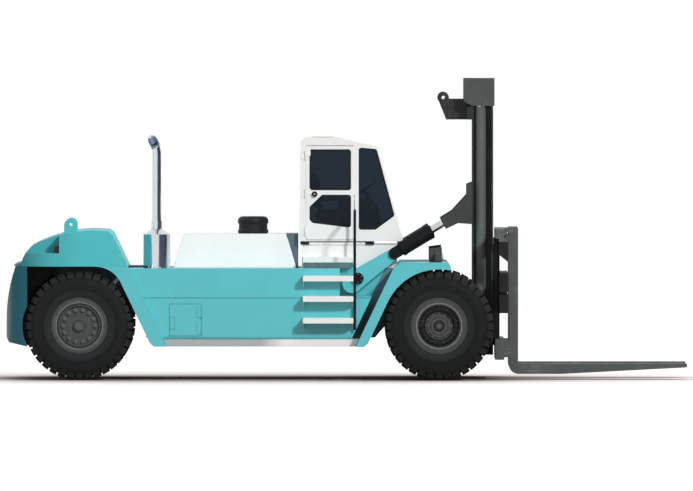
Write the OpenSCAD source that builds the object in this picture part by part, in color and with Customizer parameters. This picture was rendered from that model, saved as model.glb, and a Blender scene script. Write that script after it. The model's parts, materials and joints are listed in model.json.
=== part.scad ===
// Heavy counterbalance forklift truck with twin drive wheels in front, steered
// wheels under the counterweight, a two-stage mast and sliding forks.
// +X points to the fork tips, +Y to the driver's left, +Z up, in millimetres.
// Inside the modules x is measured from the drive axle.

/* [Wheels] */
// Distance between the drive axle and the steer axle
wheelbase = 5330; // [5200:10:5600]
// Outside diameter of every tyre, over the lugs
tyre_d = 1616; // [1560:4:1640]
// Width of every tyre
tyre_w = 498; // [460:2:510]
// Diameter of the bead seat of every rim
rim_d = 635; // [600:5:660]
// Lugs around one tyre
lug_count = 36; // [24:2:44]
// Depth of the grooves between the lugs
lug_depth = 42; // [20:2:60]
// Width over the outer drive tyres
overall_w = 3450; // [3420:10:3600]
// Distance between the middles of a pair of twin tyres
twin_pitch = 560; // [540:5:580]
// Distance between the middles of the steer tyres
steer_track = 2400; // [2340:10:2460]
// Distance from the middle of a steer tyre to its kingpin
kingpin_inset = 200; // [190:5:230]

/* [Body] */
// Height of the deck on top of the side boxes
deck_z = 1655; // [1630:5:1700]
// Height of the lower edge of the side boxes
box_z = 611; // [580:5:680]
// Height of the underside of the sills and of the mudguard legs
sill_z = 499; // [470:5:540]
// Half of the width over the side boxes
body_half_w = 1380; // [1340:5:1400]
// Height of the crease along the side boxes
crease_z = 1220; // [1100:10:1260]
// Forward lean of the mudguard legs, as run over rise
leg_rake = 0.48; // [0.44:0.01:0.52]
// Width of a mudguard leg, measured along the truck
leg_w = 220; // [160:5:260]
// Gap between the drive tyres and the front mudguard
mudguard_gap = 30; // [20:2:60]
// Thickness of the mudguard sheet
sheet_t = 16; // [10:1:24]
// Height of the flat top of the front mudguards
mudguard_z = 1749; // [1730:2:1790]
// Gap between a side box and the front mudguard's leg
leg_gap = 115; // [80:5:140]
// Depth of the rear mudguard's legs, across the truck
leg_depth = 250; // [200:10:300]

/* [Counterweight] */
// Half of the width of the counterweight
tail_half_w = 1500; // [1460:5:1560]
// Reach of the tail behind the steer axle
tail_reach = 1086; // [1060:2:1160]
// Height of the joint between the two castings
split_z = 1684; // [1670:2:1720]
// Height of the crest of the upper casting
crest_z = 2220; // [2160:5:2300]
// Radius of the rear corners, seen from above
tail_corner_r = 520; // [300:10:600]
// Radius of the hole in each lifting eye
eye_r = 34; // [24:1:40]
// Thickness of a lifting eye
eye_t = 60; // [40:2:80]

/* [Hood] */
// Height of the top of the engine hood
hood_z = 2160; // [2080:5:2240]
// Half of the width of the hood at the deck
hood_half_w = 610; // [560:5:615]
// Thickness of the hood's wall
hood_t = 25; // [12:1:40]
// Diameter of the muffler
muffler_d = 396; // [320:4:420]
// Diameter of the exhaust pipe
pipe_d = 136; // [100:2:160]
// Height of the tip of the exhaust pipe
pipe_top_z = 3620; // [3300:10:3700]

/* [Cab] */
// Half of the width of the cab
cab_half_w = 680; // [660:2:688]
// Height of the cab floor
cab_z = 2050; // [2030:5:2080]
// Height of the cab roof
roof_z = 3592; // [3540:4:3700]
// Thickness of the cab's walls and doors
wall_t = 50; // [40:2:60]
// Thickness of the window panes
glass_t = 8; // [6:1:12]
// Gap around each door
door_gap = 8; // [6:1:12]

/* [Mast] */
// Height of the mast's head, lowered
mast_top_z = 4468; // [4400:4:4560]
// Height of the head box over the outer uprights
head_h = 410; // [380:5:440]
// Half of the width over the outer uprights
mast_half_w = 640; // [636:1:644]
// Depth of the outer uprights, along the truck
mast_depth = 312; // [306:2:320]
// Thickness of the flanges and webs of the uprights
flange_t = 30; // [24:1:32]
// Distance of the mast's rear face from the drive axle
mast_x = 494; // [488:1:500]
// Radius of the lift cylinder barrels
lift_r = 85; // [78:1:86]
// Radius of the lift cylinder rods
lift_rod_r = 55; // [45:1:60]
// Travel of the inner mast
lift_stroke = 2000; // [1800:10:2050]
// Height of the tilt pivot
pivot_z = 700; // [690:5:720]
// Distance of the tilt pivot from the drive axle
pivot_x = 400; // [396:1:404]

/* [Tilt cylinders] */
// Distance of the tilt cylinders from the middle of the truck
tilt_y = 810; // [806:1:820]
// Radius of the tilt cylinder barrels
tilt_r = 108; // [90:1:110]
// Radius of the tilt cylinder rods
tilt_rod_r = 45; // [36:1:50]
// Length of the barrels from the rear pin
tilt_barrel_len = 640; // [600:5:650]

/* [Carriage and forks] */
// Half of the width of the fork carriage
carriage_half_w = 1300; // [1280:5:1340]
// Length of the fork blades in front of the shanks
fork_len = 2506; // [1800:10:2800]
// Width of a fork
fork_w = 300; // [220:5:320]
// Thickness of a fork's shank
fork_t = 142; // [120:2:150]
// Height of the top of the blades
blade_z = 238; // [220:2:250]
// Thickness of a fork's tip
tip_t = 58; // [40:2:80]
// Distance of each fork's middle from the middle of the truck
fork_y = 750; // [620:10:900]

/* [Steps] */
// Length of the step treads
tread_len = 748; // [700:4:752]
// Height of the treads' front lips
tread_lip = 80; // [60:2:84]
// Radius of the handrail tube
rail_r = 20; // [16:1:24]

/* [Hidden] */
$fn = 48;
fit = 0.3;

// Colours
teal = [0.36, 0.75, 0.76];
white = [0.95, 0.96, 0.95];
steel_grey = [0.26, 0.28, 0.28];
dark_slate = [0.24, 0.29, 0.35];
black = [0.10, 0.11, 0.12];
rubber = [0.14, 0.15, 0.15];
chrome = [0.72, 0.75, 0.80];
tinted = [0.12, 0.15, 0.18, 0.55];

// Sides of the truck
right = -1;
left = 1;

// Wheels and axles
tyre_r = tyre_d / 2;
axle_z = tyre_r;
rim_r = rim_d / 2;
barrel_r = rim_r - 22;
flange_h = 100;
steer_x = -wheelbase;
steer_y = steer_track / 2;
kingpin_y = steer_y - kingpin_inset;
outer_tyre_y = (overall_w - tyre_w) / 2;
inner_tyre_y = outer_tyre_y - twin_pitch;
inner_face_y = inner_tyre_y - tyre_w / 2;
sweep_gap = 18;
sweep_r = sqrt(pow(tyre_r, 2) + pow(kingpin_inset + tyre_w / 2, 2)) + sweep_gap;
kingpin_r = 60;
spindle_r = 92;
axle_tube_r = 170;
drive_spindle_r = 120;
axle_pad_z = axle_z + 254;

// Frame
frame_gap = 47;
rail_t = 80;
rail_y1 = inner_face_y - frame_gap;
rail_y0 = rail_y1 - rail_t;
rail_rear_x = steer_x + 982;
rail_front_x = 330;
rail_arch_x = -560;
rail_belly_x = -950;
rail_drop_x = -250;
rail_nose_z = deck_z - 255;
cross_member_t = 150;
spine_half_w = 300;
spine_z = axle_z + 150;
deck_t = 40;
belly_t = 20;
belly_z = box_z + 9;
plate_t = 60;
pivot_boss_r = 85;
pivot_pin_r = 55;
bracket_y = 440;

// Legs of the mudguards, at the height of the sills
rear_leg_x = steer_x + 1290;
front_leg_x = -1236;
function rear_leg_at(z) = rear_leg_x - leg_rake * (z - sill_z);
function front_leg_at(z) = front_leg_x + leg_rake * (z - sill_z);
mudguard_r = tyre_r + mudguard_gap;
mudguard_y1 = overall_w / 2 - 5;
rake_len = sqrt(1 + pow(leg_rake, 2));
foot_cut = 50;
leg_angle = 180 - atan(leg_rake);

// Counterweight
tail_x = steer_x - tail_reach;
cap_x = tail_x + 114;
cap_front_x = rear_leg_at(split_z);
tail_neck_x = steer_x - 390;
tail_wing_x = steer_x - 772;
lamp_shelf_z = split_z + 198;
lamp_shelf_x = steer_x - 300;

// Hood and what stands on the deck
hood_x0 = -3941;
hood_x1 = -2119;
hood_rake = 0.29;
hood_lean = 0.16;
muffler_x = steer_x + 1142;
muffler_y = -800;
muffler_top_z = deck_z + 500;

// Cab
cab_rear_x = -2078;
cab_front_x = -530;
cab_roof_rear_x = -1971;
cab_roof_break_x = -1530;
cab_roof_front_x = -907;
cab_roof_drop = 150;
door_x0 = -1966;
door_x1 = -1261;
door_z0 = cab_z + 24;
door_z1 = roof_z - 128;
hinge_x = door_x0 - 2 * door_gap;
hinge_out = 15;
hinge_y = cab_half_w + hinge_out;
hinge_pin_r = 9;
cab_floor_z = cab_z + wall_t;
mount_h = 50;
pedestal_half_w = rail_y1 - 2;

// Mast
mast_x1 = mast_x + mast_depth;
web_y1 = mast_half_w - 2 * lift_r - 5;
web_y0 = web_y1 - flange_t;
flange_y0 = web_y0 - 105;
lift_x = mast_x + 121;
lift_y = web_y1 + lift_r + 2;
mast_foot_z = 360;
seat_z = 700;
inner_gap = 10;
inner_x0 = mast_x + flange_t + inner_gap;
inner_x1 = mast_x1 - flange_t - inner_gap;
inner_y1 = web_y0 - inner_gap;
inner_y0 = inner_y1 - 125;
inner_web_y = inner_y0 + 50;
inner_foot_z = 400;
head_gap = 8;
head_z = mast_top_z - head_h;
outer_top_z = head_z - head_gap;
cross_head_t = 60;
sheave_r = 94;
chain_y = inner_y0 / 2;
chain_w = 56;
chain_t = 34;
chain_pitch = 80;
chain_front_x = inner_x1 - 20;
sheave_z = mast_top_z - cross_head_t - sheave_r - chain_t - 12;
sheave_x = chain_front_x - sheave_r - chain_t / 2;
chain_rear_x = sheave_x - sheave_r - chain_t / 2;
inner_foot_h = 200;
chain_anchor_z = inner_foot_z + inner_foot_h + lift_stroke + 100;
crossbeam_t = 74;
mast_eye = [66, outer_top_z + 130];
mast_eye_r = 26;
mast_eye_t = 40;
mast_eye_y = flange_y0 + 20;
top_beam_z = outer_top_z - 195;
ear_t = 40;
ear_gap = 5;

// Tilt linkage
anchor_x = -660;
anchor_z = 1872;
rod_eye_x = 195;
rod_eye_z = 2393;
tilt_angle = atan2(rod_eye_z - anchor_z, rod_eye_x - anchor_x);
tilt_len = norm([rod_eye_x - anchor_x, rod_eye_z - anchor_z]);
tilt_eye_w = 80;
tilt_eye_r = 75;
tilt_pin_r = 40;
tilt_eye_play = 12;
arm_t = 30;
arm_gap = 5;
// Rear clevis of a tilt cylinder round its arm
clevis_r = 85;
clevis_x = 110;
lug_gap = tilt_r + 12;

// Carriage and forks
roller_r = (inner_x1 - inner_x0) / 2 - flange_t - 0.5;
roller_x = (inner_x0 + inner_x1) / 2;
carriage_x0 = mast_x1 + 8;
beam_x0 = mast_x1 + 26;
beam_x1 = mast_x1 + 162;
rail_bar_x1 = beam_x1 + 42;
shank_x = beam_x1 + 65;
shank_x1 = shank_x + fork_t;
tip_x = shank_x1 + fork_len;
carriage_top_z = 2235;
carriage_beam_z = 2096;
stop_t = 38;
stop_h = 346;
fork_top_z = carriage_top_z + 15;
lower_beam_z0 = 300;
lower_beam_z1 = 604;
slide_gap = 0.5;
hook_bar_z0 = carriage_beam_z + 50;
hook_bar_z1 = carriage_beam_z + 94;
// Planks between the beams, as [lower edge, upper edge]
plank_table = [[990, 1268], [1298, 1585]];

// Steps, as [height of the tread, inner edge, outer edge] from the middle of the truck
tread_x = -2018;
panel_y = body_half_w - 12;
steps_table = [
    [deck_z + 163, pedestal_half_w, pedestal_half_w + 290],
    [deck_z - 107, body_half_w, body_half_w + 220],
    [deck_z - 409, body_half_w, body_half_w + 250],
    [deck_z - 730, panel_y, body_half_w + 280]];
handrail_x = tread_x + tread_len + rail_r;
handrail_y0 = pedestal_half_w + 260;
handrail_y1 = body_half_w + 60;
handrail_top_z = 2509;

// Origin on the ground, in the middle of the truck's length
origin_x = -(tip_x + tail_x) / 2;

// Places a truck that is drawn about its drive axle
module placed() translate([origin_x, 0, 0]) children();

// Draws on the left, or mirrored to the right
module on_side(side) {
    if (side == left) children();
    else mirror([0, 1, 0]) children();
}
module both_sides() {
    for (side = [right, left]) on_side(side) children();
}
module block(x, y, z) translate([x[0], y[0], z[0]]) cube([x[1] - x[0], y[1] - y[0], z[1] - z[0]]);
module rod_y(x, z, r, y) translate([x, y[1], z]) rotate([90, 0, 0]) cylinder(r = r, h = y[1] - y[0]);
module rod_z(x, y, r, z) translate([x, y, z[0]]) cylinder(r = r, h = z[1] - z[0]);
// Pushes a side outline of x and z through the span y
module side_plate(y) translate([0, y[1], 0]) rotate([90, 0, 0]) linear_extrude(y[1] - y[0]) children();
// Pushes a plan outline of x and y through the span z
module floor_plate(z) translate([0, 0, z[0]]) linear_extrude(z[1] - z[0]) children();
// Pushes a front outline of y and z through the span x
module cross_plate(x) translate([x[0], 0, 0]) rotate([90, 0, 90]) linear_extrude(x[1] - x[0]) children();
function arc(centre, r, a0, a1, steps) =
    [for (i = [0:steps]) centre + r * [cos(a0 + (a1 - a0) * i / steps), sin(a0 + (a1 - a0) * i / steps)]];

// Frame: two rails, a narrow spine over the steer axle, cross members and the mast's pivots
module rail_outline() polygon([
    [rail_rear_x, belly_z], [rail_belly_x, belly_z], [rail_arch_x, axle_pad_z], [rail_front_x, axle_pad_z],
    [rail_front_x, rail_nose_z], [rail_drop_x, deck_z - deck_t], [rail_rear_x, deck_z - deck_t]]);
module pivot_outline() {
    root_x = rail_front_x - cross_member_t;
    root_z = rail_nose_z - 100;
    difference() {
        union() {
            translate([pivot_x, pivot_z]) circle(r = pivot_boss_r);
            polygon([[pivot_x - pivot_boss_r, pivot_z], [pivot_x + 50, pivot_z + 68],
                [rail_front_x, root_z], [root_x, root_z], [root_x, axle_pad_z]]);
        }
        translate([rail_front_x, axle_pad_z]) square(2 * cross_member_t);
    }
}
module chassis_frame() color(steel_grey) {
    both_sides() side_plate([rail_y0, rail_y1]) rail_outline();
    block([rail_front_x - cross_member_t, rail_front_x], [-rail_y0, rail_y0], [axle_pad_z, rail_nose_z]);
    block([rail_rear_x, rail_rear_x + plate_t], [-rail_y1, rail_y1], [belly_z, deck_z - deck_t]);
    block([rail_rear_x, rail_belly_x], [-rail_y0, rail_y0], [belly_z, belly_z + belly_t]);
    difference() {
        block([tail_neck_x, rail_rear_x], [-spine_half_w, spine_half_w], [spine_z, split_z]);
        block([tail_neck_x - 1, rail_rear_x + 1], [plate_t - spine_half_w, spine_half_w - plate_t],
            [spine_z + plate_t, split_z - plate_t]);
    }
    floor_plate([deck_z - deck_t, deck_z]) {
        translate([cab_rear_x, -rail_y1]) square([cab_front_x - cab_rear_x, 2 * rail_y1]);
        translate([rear_leg_at(deck_z) + 20, -rail_y1])
            square([hood_x0 - rear_leg_at(deck_z) - 20, 2 * rail_y1]);
    }
    both_sides() {
        side_plate([bracket_y, bracket_y + plate_t]) pivot_outline();
        rod_y(pivot_x, pivot_z, pivot_pin_r, [bracket_y - 44, bracket_y + plate_t + 44]);
    }
}

// Drive axle: tube with a bulged differential, pads under the rails and a spindle at each end
spindle_len = 300;
module drive_axle() color(black) {
    bulge_r = 300;
    brake_r = 235;
    pad_half = 220;
    rod_y(0, axle_z, axle_tube_r, [-inner_tyre_y - spindle_len / 2, inner_tyre_y + spindle_len / 2]);
    translate([0, 0, axle_z]) sphere(r = bulge_r);
    both_sides() {
        rod_y(0, axle_z, brake_r, [rail_y0 - 60, rail_y1 + 20]);
        block([-pad_half, pad_half], [rail_y0, rail_y1], [axle_z, axle_pad_z]);
        rod_y(0, axle_z, drive_spindle_r, [inner_tyre_y, inner_tyre_y + spindle_len]);
    }
}

// Steer axle: waisted beam with a yoke at each kingpin, and its steering cylinder
module steer_axle() color(black) {
    yoke_r = 85;
    beam_h = 150;
    yoke_in = 135;
    waist_d = kingpin_y - 210;
    translate([steer_x, 0, 0]) {
        difference() {
            floor_plate([axle_z - beam_h, axle_z + beam_h]) union() {
                polygon([[-230, 0], [-200, kingpin_y - 450], [-yoke_r, waist_d], [-yoke_r, kingpin_y],
                    [yoke_r, kingpin_y], [yoke_r, waist_d], [200, kingpin_y - 450], [230, 0],
                    [200, 450 - kingpin_y], [yoke_r, -waist_d], [yoke_r, -kingpin_y],
                    [-yoke_r, -kingpin_y], [-yoke_r, -waist_d], [-200, 450 - kingpin_y]]);
                for (side = [right, left]) translate([0, side * kingpin_y]) circle(r = yoke_r);
            }
            both_sides() block([-150, 150], [kingpin_y - 125, kingpin_y + 150],
                [axle_z - yoke_in + 30, axle_z + yoke_in - 30]);
        }
        both_sides() rod_z(0, kingpin_y, kingpin_r, [axle_z - beam_h, axle_z + beam_h]);
        rod_y(262, axle_z, 70, [-330, 330]);
        rod_y(262, axle_z, 38, [-440, 440]);
    }
}

// Ball that a steer tyre's edge sweeps as its knuckle turns
module steer_sweep() both_sides() translate([steer_x, kingpin_y, axle_z]) sphere(r = sweep_r);

// Lower casting of the counterweight, with a towing jaw
module tail_plan(x0, corner_r) {
    translate([x0 + corner_r, -tail_half_w]) square([2200, 2 * tail_half_w]);
    translate([x0, corner_r - tail_half_w]) square([2200, 2 * (tail_half_w - corner_r)]);
    for (side = [right, left])
        translate([x0 + corner_r, side * (tail_half_w - corner_r)]) circle(r = corner_r);
}
module counterweight() color(teal) difference() {
    jaw_z = axle_z + 20;
    jaw_h = 180;
    jaw_x = tail_x + 120;
    intersection() {
        side_plate([-tail_half_w, tail_half_w]) polygon(concat(
            [[tail_neck_x, split_z]],
            arc([tail_x + 2500, axle_z + 60], 2500, 161, 180, 6),
            [[tail_x, 640], [tail_x + 40, 560], [tail_x + 290, 505], [tail_neck_x, 505]]));
        floor_plate([500, split_z]) tail_plan(tail_x, tail_corner_r);
    }
    both_sides() block([tail_wing_x, tail_neck_x + 10], [560, tail_half_w + 10], [400, split_z + 10]);
    steer_sweep();
    block([tail_x - 10, tail_x + 230], [-150, 150], [jaw_z, jaw_z + jaw_h]);
    rod_z(jaw_x, 0, 32, [400, jaw_z + jaw_h + 100]);
}

// Upper casting of the counterweight, crowned, with lamp shelves and lifting eyes
eye_x = steer_x - 142;
eye_y = 900;
eye_z = crest_z + 70;
module counterweight_cap() color(teal) {
    crown_r = 1950;
    crown_x = cap_front_x - 508;
    difference() {
        intersection() {
            side_plate([-tail_half_w, tail_half_w]) intersection() {
                polygon([[cap_x, split_z], [cap_x, split_z + 26], [cap_x + 110, split_z + 58],
                    [cap_x + 135, split_z + 130], [cap_x + 178, split_z + 210], [cap_x + 260, split_z + 300],
                    [cap_x + 500, crest_z + 40], [cap_front_x - leg_rake * (crest_z - split_z) - 50, crest_z],
                    [cap_front_x - leg_rake * (crest_z - split_z - 60), crest_z - 60],
                    [cap_front_x, split_z]]);
                translate([crown_x, crest_z - crown_r]) circle(r = crown_r);
            }
            floor_plate([split_z - 1, crest_z + 50]) tail_plan(cap_x, tail_corner_r);
        }
        both_sides() block([cap_x - 10, lamp_shelf_x], [tail_half_w - 380, tail_half_w + 10],
            [lamp_shelf_z, crest_z + 50]);
    }
    both_sides() difference() {
        side_plate([eye_y - eye_t / 2, eye_y + eye_t / 2]) {
            translate([eye_x, eye_z]) circle(r = 90);
            translate([eye_x - 90, eye_z - 250]) square([180, 250]);
        }
        rod_y(eye_x, eye_z, eye_r, [eye_y - eye_t, eye_y + eye_t]);
    }
}

// Front legs of the rear wheel arches
module rear_mudguards() color(teal) {
    fillet_r = 420;
    fillet_z = split_z - fillet_r;
    meet_z = fillet_z + fillet_r * leg_rake / rake_len;
    meet_x = rear_leg_at(meet_z) - leg_w;
    fillet_x = meet_x - fillet_r / rake_len;
    both_sides() difference() {
        side_plate([tail_half_w - leg_depth, tail_half_w]) polygon(concat(
            [[rear_leg_x, sill_z], [rear_leg_at(split_z), split_z]],
            arc([fillet_x, fillet_z], fillet_r, 90, 90 - atan(1 / leg_rake), 8),
            [[rear_leg_x - leg_w - leg_rake * foot_cut, sill_z + foot_cut],
                [rear_leg_x - leg_w + 0.7 * foot_cut, sill_z]]));
        steer_sweep();
    }
}

// Front mudguards: hollow box section round the drive tyres, closed by a skirt
module mudguard_outline() {
    meet = [0, axle_z] + mudguard_r * [cos(leg_angle), sin(leg_angle)] * [[1, 0], [0, 1]];
    foot_x = meet[0] - leg_rake * (meet[1] - sill_z);
    polygon(concat(
        [[115, mudguard_z], [front_leg_at(deck_z) + 104, mudguard_z], [front_leg_at(deck_z), deck_z],
            [front_leg_x, sill_z], [foot_x - 0.7 * foot_cut, sill_z],
            [foot_x + leg_rake * foot_cut, sill_z + foot_cut]],
        arc([0, axle_z], mudguard_r, 90 + atan(1 / leg_rake), 79, 14),
        [[175, axle_z + mudguard_r + 20]]));
}
module front_mudguards() color(teal) both_sides() {
    side_plate([rail_y1, mudguard_y1]) difference() {
        mudguard_outline();
        offset(delta = -sheet_t) mudguard_outline();
    }
    side_plate([mudguard_y1 - 2 * sheet_t, mudguard_y1]) mudguard_outline();
}

// Side boxes: tanks and a service compartment, with a recess in front for the tilt anchors
hatch_x = steer_x + 1337;
hatch_z = box_z + 48;
hatch_size = 468;
hatch_depth = 400;
hatch_t = 24;
hatch_gap = 6;
bin_t = 24;
recess_x = -1470;
recess_z = crease_z + 24;
box_t = 20;
sill_gap = 2;
module side_box_form(t) {
    z0 = box_z + t;
    z1 = deck_z - t;
    difference() {
        intersection() {
            side_plate([rail_y1, body_half_w - t]) polygon([[rear_leg_at(z0) + t, z0],
                [rear_leg_at(z1) + t, z1], [front_leg_at(z1) - leg_gap - t, z1],
                [front_leg_at(z0) - leg_gap - t, z0]]);
            cross_plate([rear_leg_at(deck_z) - 10, front_leg_at(deck_z) + 10]) polygon([
                [rail_y1 - 1, z0], [panel_y - 20 - t, z0], [panel_y - t, z0 + 40],
                [panel_y - t, crease_z - 8],
                [body_half_w - t, crease_z + 6], [body_half_w - t, z1], [rail_y1 - 1, z1]]);
        }
        block([recess_x - t, 0], [rail_y1 + 20 - t, body_half_w + 10], [recess_z - t, deck_z + 10]);
    }
}
module side_box() difference() {
    side_box_form(0);
    translate([0, -1, 0]) side_box_form(box_t);
}
module hatch_span(grow, y) block([hatch_x - grow, hatch_x + hatch_size + grow], y,
    [hatch_z - grow, hatch_z + hatch_size + grow]);
module side_box_left() color(teal) side_box();
module side_box_right() color(teal) on_side(right) difference() {
    union() {
        side_box();
        hatch_span(hatch_gap + bin_t, [panel_y - hatch_depth - box_t, panel_y - box_t / 2]);
    }
    hatch_span(hatch_gap, [panel_y - hatch_t - hatch_gap, panel_y + 30]);
    hatch_span(-bin_t, [panel_y - hatch_depth, panel_y + 30]);
}
hatch_hinge_x = hatch_x + hatch_size + 10;
hatch_hinge_y = panel_y + 14;
module hatch_right() color(teal) on_side(right) {
    hinge_half = 85;
    leaf_w = 70;
    handle_w = 90;
    handle_h = 190;
    handle_z = hatch_z + 103;
    handle_rim = 14;
    hatch_span(0, [panel_y - hatch_t, panel_y]);
    for (z = [hatch_z + hatch_size / 4, hatch_z + hatch_size * 3 / 4]) {
        rod_z(hatch_hinge_x, hatch_hinge_y, 12, [z - hinge_half, z + hinge_half]);
        block([hatch_hinge_x - leaf_w, hatch_hinge_x], [panel_y, panel_y + 10],
            [z - hinge_half, z + hinge_half]);
    }
    difference() {
        block([hatch_x, hatch_x + handle_w], [panel_y, panel_y + handle_rim],
            [handle_z, handle_z + handle_h]);
        block([hatch_x + handle_rim, hatch_x + handle_w - handle_rim], [panel_y + 4, panel_y + 20],
            [handle_z + handle_rim, handle_z + handle_h - handle_rim]);
    }
}
// Sills under the side boxes, cut to the rake of the legs
module sills() color(white) both_sides() side_plate([panel_y - 180, panel_y - 30]) polygon([
    [rear_leg_at(sill_z) + sill_gap, sill_z], [rear_leg_at(box_z) + sill_gap, box_z],
    [front_leg_at(box_z) - sill_gap, box_z], [front_leg_at(sill_z) - sill_gap, sill_z]]);

// Engine hood, engine and bulkhead
module hood_form(inset) {
    drop = inset;
    x0 = hood_x0 + inset;
    x1 = hood_x1 - inset;
    half = hood_half_w - inset;
    rise = hood_z - deck_z;
    intersection() {
        side_plate([-half, half]) polygon([[x0, deck_z], [x0 + hood_rake * rise, hood_z - drop],
            [x1 - hood_rake * rise, hood_z - drop], [x1, deck_z]]);
        cross_plate([x0, x1]) polygon([[-half, deck_z], [-half + hood_lean * rise, hood_z - drop],
            [half - hood_lean * rise, hood_z - drop], [half, deck_z]]);
    }
}
module engine_hood() color(white) difference() {
    hood_form(0);
    translate([0, 0, -1]) hood_form(hood_t);
}
module engine_block() color(black) {
    x0 = hood_x0 + 241;
    x1 = hood_x1 - 281;
    half_w = 340;
    foot_w = 120;
    floor_z = belly_z + belly_t;
    block([x0, x1], [-half_w, half_w], [floor_z + foot_w, hood_z - 260]);
    for (x = [x0 + 50, x1 - 100]) block([x, x + foot_w], [-rail_y0, rail_y0], [floor_z, floor_z + 260]);
}
module hood_bulkhead() color(dark_slate) {
    rise = hood_z - deck_z;
    side_plate([-hood_half_w + 60, hood_half_w - 60]) polygon([[hood_x1, deck_z],
        [hood_x1 - hood_rake * rise, hood_z], [cab_rear_x - 12, hood_z], [cab_rear_x - 12, deck_z]]);
}

// Exhaust: muffler, cone, and a pipe that bends back and ends in a slanted cut
module exhaust_stack() color(chrome) translate([muffler_x, muffler_y, 0]) {
    bend_r = 300;
    bend_a = 28;
    mouth_a = 55;
    mouth_h = 38;
    wall = 6;
    bend_z = pipe_top_z - 260;
    collar_r = pipe_d / 2 + 12;
    cone_top_z = muffler_top_z + 80;
    collar_top_z = cone_top_z + 120;
    rod_z(0, 0, muffler_d / 2, [deck_z, muffler_top_z]);
    translate([0, 0, muffler_top_z])
        cylinder(r1 = muffler_d / 2, r2 = collar_r, h = cone_top_z - muffler_top_z);
    rod_z(0, 0, collar_r, [cone_top_z, collar_top_z]);
    difference() {
        union() {
            rod_z(0, 0, pipe_d / 2, [cone_top_z, bend_z]);
            translate([-bend_r, 0, bend_z]) rotate([90, 0, 0])
                rotate_extrude(angle = bend_a) translate([bend_r, 0]) circle(d = pipe_d);
            translate([-bend_r, 0, bend_z]) rotate([0, -bend_a, 0]) translate([bend_r, 0, 0])
                translate([0, 0, -30]) cylinder(r = pipe_d / 2 + 2, h = 190);
        }
        translate([-bend_r, 0, bend_z]) rotate([0, -bend_a, 0]) translate([bend_r, 0, 0])
            cylinder(d = pipe_d - 2 * wall, h = 300);
        translate([-bend_r, 0, bend_z]) rotate([90, 0, 0])
            rotate_extrude(angle = bend_a) translate([bend_r, 0]) circle(d = pipe_d - 2 * wall);
        translate([-bend_r, 0, bend_z]) rotate([0, -bend_a, 0]) translate([bend_r, 0, mouth_h])
            rotate([mouth_a, 0, 0]) translate([-300, -300, 0]) cube(600);
    }
}

// Air precleaner: capped drum on the hood
module air_precleaner() color(black) translate([-2760, -240, hood_z]) rotate_extrude() {
    polygon(concat([[0, 0], [205, 0], [226, 12], [226, 52], [212, 66], [212, 140], [228, 160]],
        arc([160, 188], 68, 0, 90, 5), [[0, 256]]));
}

// Cab
module cab_outline() polygon([[cab_rear_x, cab_z], [cab_rear_x + 27, roof_z - 68],
    [cab_roof_rear_x, roof_z], [cab_roof_break_x, roof_z],
    [cab_roof_front_x, roof_z - cab_roof_drop], [cab_front_x, cab_z]]);
module cab_inside() offset(delta = -wall_t) cab_outline();
module door_outline(grow) translate([door_x0 - grow, door_z0 - grow])
    square([door_x1 - door_x0 + 2 * grow, door_z1 - door_z0 + 2 * grow]);
// Corner points of the two door windows and of the front quarter window
quarter_x = door_x1 + 70;
upper_window = [[door_x0 + 44, cab_z + 756], [door_x1 - 44, cab_z + 756],
    [door_x1 - 44, door_z1 - 50], [door_x0 + 44, door_z1 - 50]];
lower_window = [[door_x0 + 44, cab_z + 320], [door_x0 + 90, cab_z + 270], [door_x1 - 44, cab_z + 200],
    [door_x1 - 44, cab_z + 690], [door_x0 + 230, cab_z + 690], [door_x0 + 44, cab_z + 510]];
front_slope = atan2(cab_front_x - cab_roof_front_x, roof_z - cab_roof_drop - cab_z);
front_post = 24;
function quarter_edge_x(z) = cab_front_x - (z - cab_z) * tan(front_slope) - front_post;
quarter_top_z = roof_z - cab_roof_drop - front_post;
quarter_window = [[quarter_x, cab_z + 170], [quarter_x + 250, cab_z + 170],
    [quarter_edge_x(cab_z + 380), cab_z + 380], [quarter_edge_x(quarter_top_z), quarter_top_z],
    [quarter_x, roof_z - cab_roof_drop]];
module rounded(points, r) offset(r = r, $fn = 24) offset(delta = -r) polygon(points);
module window_hole(points) rounded(points, 40);
module window_pane(points) offset(delta = -fit) rounded(points, 40);
// Windows in the end walls and the roof, as half widths
rear_pane_half = 480;
front_pane_half = 600;
roof_pane_half = 420;
rear_slope = atan(27 / (roof_z - 68 - cab_z));
front_pane_len = (roof_z - cab_roof_drop - cab_z) / cos(front_slope);
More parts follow.
